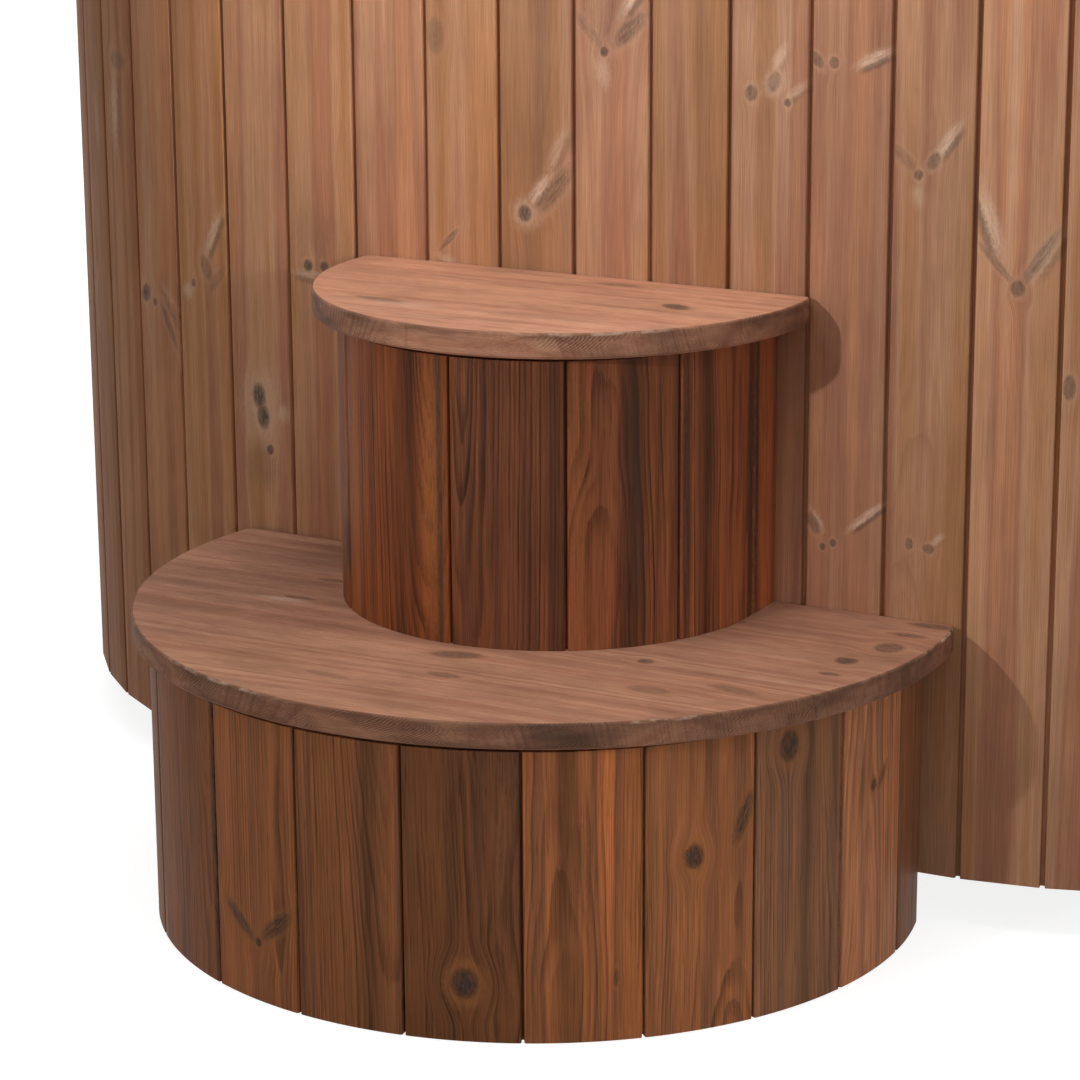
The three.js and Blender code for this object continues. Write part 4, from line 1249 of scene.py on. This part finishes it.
LOWER_TIER = StepTier(
    name="lower",
    radius=0.387,
    set_off=0.1005,
    straight_sides=False,
    shares=(0.62, 1, 1, 1, 1.27, 1, 1, 1, 1, 1, 1, 1, 0.77),
    # Lightness, warmth and ring strength per board: partly each board's own tone, partly painted light, most of all on
    # the boards towards the right end, which are lightened where the light from the right falls short.
    tones_and_painted_light=(
        (1.2, 0.0, 1.1),
        (1.5, 0.0, 1.0),
        (1.2, 0.0, 1.1),
        (1.24, 0.15, 0.8),
        (1.45, 0.3, 1.0),
        (2.25, 0.1, 0.85),
        (1.7, -0.15, 1.0),
        (1.1, -0.2, 1.1),
        (2.15, 0.2, 0.9),
        (2.3, -0.15, 0.9),
        (2.35, -1.0, 0.8),
        (4.0, -0.65, 0.8),
        (1.85, -0.7, 0.6),
    ),
    marks={
        5: [wing((-40, 92), (0, 60), 7, 0.9), wing((10, 64), (50, 98), 8, 0.9), spot(6, 59, 4)],
        # 4: a long thin dark stripe at the right edge, painted shade in the joint
        4: [Mark(68, 150, 200, 4, 0, 0.9)],
        7: [Mark(3, 57, 15, 13, 0, 1.0), wing((36, 150), (40, 230), 2.5, 0.5)],
        8: [Mark(30, 62, 9, 2.5, 0, 0.9), wing((2, 110), (0, 230), 6, 0.35)],
        9: [Mark(-8, 171, 12, 9.5, 0, 1.0), wing((34, 176), (52, 226), 7, 0.9)],
        # 10: a knot, and a long thin dark stripe at the right edge, painted shade in the joint
        10: [Mark(-18, 260, 15, 11.5, 0, 0.9), Mark(54, 150, 200, 4, 0, 1.0)],
        11: [spot(-4, 190, 5, 0.8), wing((4, 186), (20, 204), 4, 0.6)],
    },
    glue_lines=(0.145, 0.259),
    tread_marks={
        0: [
            Mark(97, 377, 14, 15, 0, 0.75),
            Mark(51, 378, 20, 6.5, 0, 0.9),
            Mark(12, 388, 26, 9, 0, 0.95),
            Mark(138, -216, 18, 6, 0, 0.75),
            # painted shade: a wide soft dark patch over the left end, standing for the upper step's shadow
            Mark(60, -330, 150, 90, 0, 0.28),
        ],
        1: [
            Mark(152, 357, 11, 12, 0, 1.0),
            Mark(198, 359, 11, 5, 0, 0.8),
            Mark(206, -214, 22, 5, 0, 1.0),
            Mark(217, -226, 28, 6, 0, -0.9),
            spot(240, 190, 7, 0.8),
            # painted shade: a wide soft dark patch over the left end, standing for the upper step's shadow
            Mark(210, -330, 170, 90, 0, 0.28),
        ],
        2: [
            Mark(303, 21, 26, 11, -15, 0.85),
            Mark(363, 42, 18, 7, 0, 0.7),
            Mark(282, 301, 30, 9, 10, 0.65),
            Mark(317, 232, 22, 10, 0, 0.5),
            Mark(412, -53, 30, 6, 8, 0.4),
            # painted shade: a wide soft dark patch over the left end, standing for the upper step's shadow
            Mark(310, -260, 130, 80, 0, 0.22),
        ],
    },
    tread_seed=4.0,
    timber=LOWER_RISER_TIMBER,
    tread_light=1.18,
    tread_warm=-0.06,
    tip_wear=0.9,
)
UPPER_TIER = StepTier(
    name="upper",
    radius=0.215,
    set_off=0.06,
    straight_sides=True,
    shares=(1.06, 1, 1.4, 1, 1, 1, 0.47),
    # Lightness, warmth and ring strength per board; the two boards at the right end are lightened as painted light
    # where the light from the right falls short.
    tones_and_painted_light=(
        (0.9, -0.3, 0.8),
        (1.3, 0.3, 1.05),
        (1.3, 0.6, 1.1),
        (1.16, -0.4, 1.25),
        (1.43, -0.25, 1.2),
        (2.13, -0.2, 1.1),
        (2.25, 0.0, 0.6),
    ),
    marks={
        1: [Mark(50, 378, 26, 6, -8, 1.0)],
        # 2: pale streaks, and a thin dark stripe at the right edge, painted shade in the joint
        2: [wing((60, 320), (60, 600), 13, -0.8), Mark(-60, 460, 150, 12, 0, -0.5), Mark(70, 460, 200, 3, 0, 0.9)],
        4: [wing((14, 330), (10, 590), 5, 0.55), Mark(-48, 460, 150, 8, 0, -0.45)],
        # 5: thin dark stripes at both edges, painted shade in the joints
        5: [Mark(49, 460, 200, 5, 0, 1.0), Mark(-49, 450, 160, 4, 0, 0.7)],
        # 6: a thin dark stripe at the left edge, painted shade in the joint
        6: [Mark(-22, 460, 200, 4, 0, 1.0)],
    },
    glue_lines=(0.19,),
    tread_marks={
        0: [
            Mark(104, 154, 17, 10, 25, 0.95),
            Mark(31, 56, 26, 7, 0, 0.7),
            Mark(128, 120, 60, 5, 0, 0.45),
            Mark(70, -90, 70, 5, 3, 0.35),
        ],
        1: [
            Mark(196, -120, 30, 9, 10, 0.7),
            Mark(205, -95, 46, 9, 0, -0.5),
            Mark(240, 10, 60, 6, -4, 0.35),
        ],
    },
    tread_seed=9.0,
    tread_light=1.45,
    tread_warm=-0.02,
)


@dataclass
class Liner:
    """The welded liner and its rim: sheets bent round the outline, seats, bench fronts and floor."""

    rim_round: float = 0.005
    lip_round: float = 0.008
    steps: int = 48

    def __post_init__(self) -> None:
        """Takes the liner's sizes from the frame."""
        left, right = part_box("liner_wall_left"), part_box("liner_wall_right")
        self.levels = (left[0].z, left[1].z)
        self.outside = right[1].y
        self.half_straight = right[1].x - self.outside
        self.seam = (left[1].x + right[0].x) / 2
        self.gap = right[0].x - left[1].x
        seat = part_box("liner_floor")
        self.inside = seat[1].y + self.gap
        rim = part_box("rim_right")
        self.rim_top, self.rim_low = rim[1].z, rim[0].z
        self.rim_outside = rim[1].y

    def stations(self, from_x: float, right: bool) -> list[tuple[Vector, Vector]]:
        """Returns middle points and outward directions round one end of the tub.

        Args:
            from_x: Where the sheet ends on the long sides.
            right: Whether the sheet goes round the right end.

        Returns:
            Pairs of a point on the tub's middle line and a direction.
        """
        side = 1 if right else -1
        made = [(Vector((from_x, 0)), Vector((0, -side)))]
        for n in range(self.steps + 1):
            turn = side * (-math.pi / 2) + math.pi * n / self.steps
            out = Vector((math.cos(turn), math.sin(turn))) if right else Vector((-math.cos(turn - math.pi), math.sin(turn)))
            made.append((Vector((side * self.half_straight, 0)), out))
        made.append((Vector((from_x, 0)), Vector((0, side))))
        return made

    def sweep(self, name: str, section: Sequence[tuple[float, float]], from_x: float, right: bool) -> bpy.types.Object:
        """Sweeps a closed section of radius and level pairs round one end, with flat cut ends.

        Args:
            name: The piece's name.
            section: The section's points.
            from_x: Where the sheet ends on the long sides.
            right: Whether the sheet goes round the right end.

        Returns:
            The piece.
        """
        shape = bmesh.new()
        rings = []
        for middle, out in self.stations(from_x, right):
            rings.append([shape.verts.new((*(middle + radius * out), level)) for radius, level in section])
        count = len(section)
        for a, b in zip(rings, rings[1:]):
            for i in range(count):
                shape.faces.new((a[i], b[i], b[(i + 1) % count], a[(i + 1) % count])).smooth = True
        shape.faces.new(rings[0])
        shape.faces.new(rings[-1][::-1])
        bmesh.ops.recalc_face_normals(shape, faces=shape.faces)
        mesh = bpy.data.meshes.new(name)
        shape.to_mesh(mesh)
        shape.free()
        mesh.set_sharp_from_angle(angle=math.radians(35))
        mesh.materials.append(LINER_SHEET.material())
        return show(name, mesh)

    def rim_section(self) -> list[tuple[float, float]]:
        """Returns the rim's section: a flat band with a rounded inner edge and a lip outside the boards."""
        thick = self.lip_round
        under = self.rim_top - thick
        section = [(self.inside, under)]
        for n in range(7):
            turn = math.pi / 2 * n / 6
            section.append((
                self.inside + self.rim_round * (1 - math.cos(turn)),
                self.rim_top - self.rim_round * (1 - math.sin(turn)),
            ))
        for n in range(9):
            turn = math.pi / 2 * n / 8
            section.append((
                self.rim_outside - thick * (1 - math.sin(turn)),
                self.rim_top - thick * (1 - math.cos(turn)),
            ))
        section.append((self.rim_outside, self.rim_low))
        section.append((self.rim_outside - thick, self.rim_low))
        section.append((self.rim_outside - thick, under))
        return section

    def build(self) -> None:
        """Builds the wall sheets and the rim, and dresses the floor and benches."""
        low, high = self.levels
        wall = [(self.inside, low), (self.inside, high), (self.outside, high), (self.outside, low)]
        for side, right in (("left", False), ("right", True)):
            shift = self.gap / 2 if right else -self.gap / 2
            sheet = self.sweep(f"liner_sheet_{side}", wall, self.seam + shift, right)
            settle(sheet, Body.TUB, "liner_shell", f"liner_wall_{side}")
            rim = self.sweep(f"rim_band_{side}", self.rim_section(), shift, right)
            settle(rim, Body.TUB, "liner_shell", f"rim_{side}")
        for name in ("liner_floor", *nodes_named("liner_seat"), *nodes_named("liner_bench")):
            dress(name, LINER_SHEET, 0.002)


def dress(name: str, finish: Finish, ease: float = 0.0) -> None:
    """Gives a frame node its finish, and eases its edges.

    Args:
        name: The node's name.
        finish: Its finish.
        ease: How far its edges are rounded, or none.
    """
    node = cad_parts[name]
    node.data.materials.clear()
    node.data.materials.append(finish.material())
    if ease:
        weld = node.modifiers.new("weld", "WELD")
        weld.merge_threshold = 1e-5
        bevel = node.modifiers.new("ease", "BEVEL")
        bevel.width = ease
        bevel.segments = 3
        bevel.limit_method = "ANGLE"
        bevel.angle_limit = math.radians(40)
    LOG.info("%s: %s", name, finish.name)


@dataclass
class HiddenFrame:
    """What carries the wall, the liner and the steps: deck, runners, hoops, foam and step formers."""

    def dress(self) -> None:
        """Gives the pieces their finishes."""
        dress("insulation", FOAM)
        for name in ("base_deck", *nodes_named("hoop"), *nodes_named("lower_former"), *nodes_named("upper_former")):
            dress(name, PLYWOOD)
        for name in nodes_named("skid"):
            dress(name, FRAME_TIMBER, 0.002)


@dataclass
class DrainValve:
    """The drain through the back of the tub and the ball valve on its end."""

    finishes: dict[str, Finish] = field(
        default_factory=lambda: {
            "drain_fitting": DRAIN_PLASTIC,
            "drain_nut": DRAIN_PLASTIC,
            "drain_strainer": DRAIN_PLASTIC,
            "valve_body": VALVE_BRASS,
            "valve_outlet": VALVE_BRASS,
            "valve_ball": VALVE_STEEL,
            "valve_stem": VALVE_STEEL,
            "valve_lever": VALVE_STEEL,
            "valve_lever_nut": VALVE_STEEL,
            "valve_grip": GRIP_PLASTIC,
        }
    )

    def dress(self) -> None:
        """Gives the fittings their finishes."""
        for name, finish in self.finishes.items():
            dress(name, finish, 0.0006)


@dataclass(frozen=True)
class Lamp:
    """A square studio lamp that faces a point."""

    name: str
    place: Triple
    aim: Triple
    size: float
    power: float
    colour: Triple = (1.0, 1.0, 1.0)
    spread: float = 180.0

    def build(self) -> None:
        """Adds the lamp to the scene."""
        data = bpy.data.lights.new(self.name, "AREA")
        data.shape = "SQUARE"
        data.size = self.size
        data.energy = self.power
        data.color = self.colour
        data.spread = math.radians(self.spread)
        lamp = bpy.data.objects.new(self.name, data)
        bpy.context.scene.collection.objects.link(lamp)
        lamp.location = self.place
        lamp.rotation_euler = (Vector(self.aim) - Vector(self.place)).to_track_quat("-Z", "Y").to_euler()


@dataclass
class Studio:
    """The floor, the surround, the lamps and the camera of the photograph's view."""

    camera_place: Triple = (1.5276, -3.6034, 1.2741)
    camera_yaw: float = 118.2
    camera_pitch: float = 15.32
    camera_roll: float = -0.351
    camera_lens: float = 114.49
    floor_drop: float = 0.001
    floor_size: float = 60.0
    floor_glow: tuple[float, float] = (0.86, 1.0)
    surround: float = 0.375
    lamps: tuple[Lamp, ...] = (
        Lamp("left_lamp", (-1.0, -4.1, 1.7), (0.8, -0.6, 1.2), 0.07, 5.4, spread=44.0),
        Lamp("right_lamp", (3.2, -2.6, 1.45), (-0.55, -0.6, 1.05), 0.2, 1.0, spread=18.0),
        Lamp("low_right_lamp", (2.4, -3.6, 0.5), (0.2, -0.95, 0.1), 0.4, 0.2, spread=16.0),
        Lamp("top_lamp", (-0.45, -1.4, 2.7), (-0.2, -0.6, 0.7), 1.0, 12.5),
        Lamp("centre_top_lamp", (0.35, -1.1, 2.6), (0.25, -0.6, 0.5), 0.8, 13.0),
        Lamp("back_lamp_left", (-2.6, 3.4, 2.2), (0.0, 0.4, 0.5), 1.2, 30.0),
        Lamp("back_lamp_right", (2.6, 3.4, 2.2), (0.0, 0.4, 0.5), 1.2, 30.0),
    )

    def build_floor(self) -> None:
        """Adds the pale floor, which glows white to the camera and still takes a faint shadow."""
        half = self.floor_size / 2
        mesh = bpy.data.meshes.new("floor")
        corners = [(x, y, -self.floor_drop) for x, y in ((-half, -half), (half, -half), (half, half), (-half, half))]
        mesh.from_pydata(corners, [], [(0, 1, 2, 3)])
        sheet = NodeSheet("floor_white")
        rays = sheet.node("ShaderNodeLightPath").outputs
        seen = sheet.math("MAXIMUM", rays["Is Camera Ray"], sheet.math("MAXIMUM", rays["Is Glossy Ray"], rays["Is Transmission Ray"]))
        far = sheet.node("ShaderNodeVectorMath", sheet.place(), operation="LENGTH").outputs["Value"]
        near_glow, far_glow = self.floor_glow
        glow = sheet.scaled(sheet.smooth(far, 1.2, 3.5), far_glow - near_glow, near_glow)
        mesh.materials.append(
            sheet.finish(
                Base_Color=(0.35, 0.35, 0.35, 1.0),
                Roughness=1.0,
                Specular_IOR_Level=0.0,
                Emission_Color=(1.0, 1.0, 1.0, 1.0),
                Emission_Strength=sheet.product(seen, glow),
            )
        )
        show("floor", mesh)

    def build_surround(self) -> None:
        """Sets the world: white to the camera, an even soft light to the object."""
        world = bpy.data.worlds.new("surround")
        world.use_nodes = True
        bpy.context.scene.world = world
        tree = world.node_tree
        tree.nodes.clear()
        rays = tree.nodes.new("ShaderNodeLightPath").outputs
        either = tree.nodes.new("ShaderNodeMath")
        either.operation = "MAXIMUM"
        tree.links.new(rays["Is Camera Ray"], either.inputs[0])
        tree.links.new(rays["Is Glossy Ray"], either.inputs[1])
        seen = tree.nodes.new("ShaderNodeMath")
        seen.operation = "MAXIMUM"
        tree.links.new(either.outputs[0], seen.inputs[0])
        tree.links.new(rays["Is Transmission Ray"], seen.inputs[1])
        level = tree.nodes.new("ShaderNodeMapRange")
        level.inputs["To Min"].default_value = self.surround
        level.inputs["To Max"].default_value = 1.0
        tree.links.new(seen.outputs[0], level.inputs["Value"])
        glow = tree.nodes.new("ShaderNodeBackground")
        glow.inputs["Color"].default_value = (1.0, 1.0, 1.0, 1.0)
        tree.links.new(level.outputs[0], glow.inputs["Strength"])
        out = tree.nodes.new("ShaderNodeOutputWorld")
        tree.links.new(glow.outputs[0], out.inputs["Surface"])

    def build_camera(self) -> None:
        """Adds the camera of the photograph's view."""
        yaw, pitch, roll = (math.radians(a) for a in (self.camera_yaw, self.camera_pitch, self.camera_roll))
        look = Vector((math.cos(yaw) * math.cos(pitch), math.sin(yaw) * math.cos(pitch), -math.sin(pitch)))
        right = Vector((math.sin(yaw), -math.cos(yaw), 0))
        up = right.cross(look)
        rolled_right = math.cos(roll) * right + math.sin(roll) * up
        rolled_up = math.cos(roll) * up - math.sin(roll) * right
        data = bpy.data.cameras.new("camera")
        data.lens = self.camera_lens
        data.sensor_width = 36.0
        data.clip_start = 0.05
        camera = bpy.data.objects.new("camera", data)
        bpy.context.scene.collection.objects.link(camera)
        turn = Matrix((rolled_right, rolled_up, -look)).transposed()
        camera.matrix_world = Matrix.Translation(self.camera_place) @ turn.to_4x4()
        bpy.context.scene.camera = camera

    def build(self) -> None:
        """Builds the whole studio."""
        bpy.context.scene.view_settings.view_transform = "Standard"
        self.build_floor()
        self.build_surround()
        for lamp in self.lamps:
            lamp.build()
        self.build_camera()


def main() -> None:
    """Builds the tub's pieces in order and the studio round them."""
    logging.basicConfig(level=logging.INFO, format="%(name)s: %(message)s")
    tree = BoardTree()
    WallBoards().build(tree)
    for tier in (LOWER_TIER, UPPER_TIER):
        tier.build_risers(tree)
        tier.build_tread()
    Liner().build()
    HiddenFrame().dress()
    DrainValve().dress()
    Studio().build()


if __name__ == "__main__":
    main()
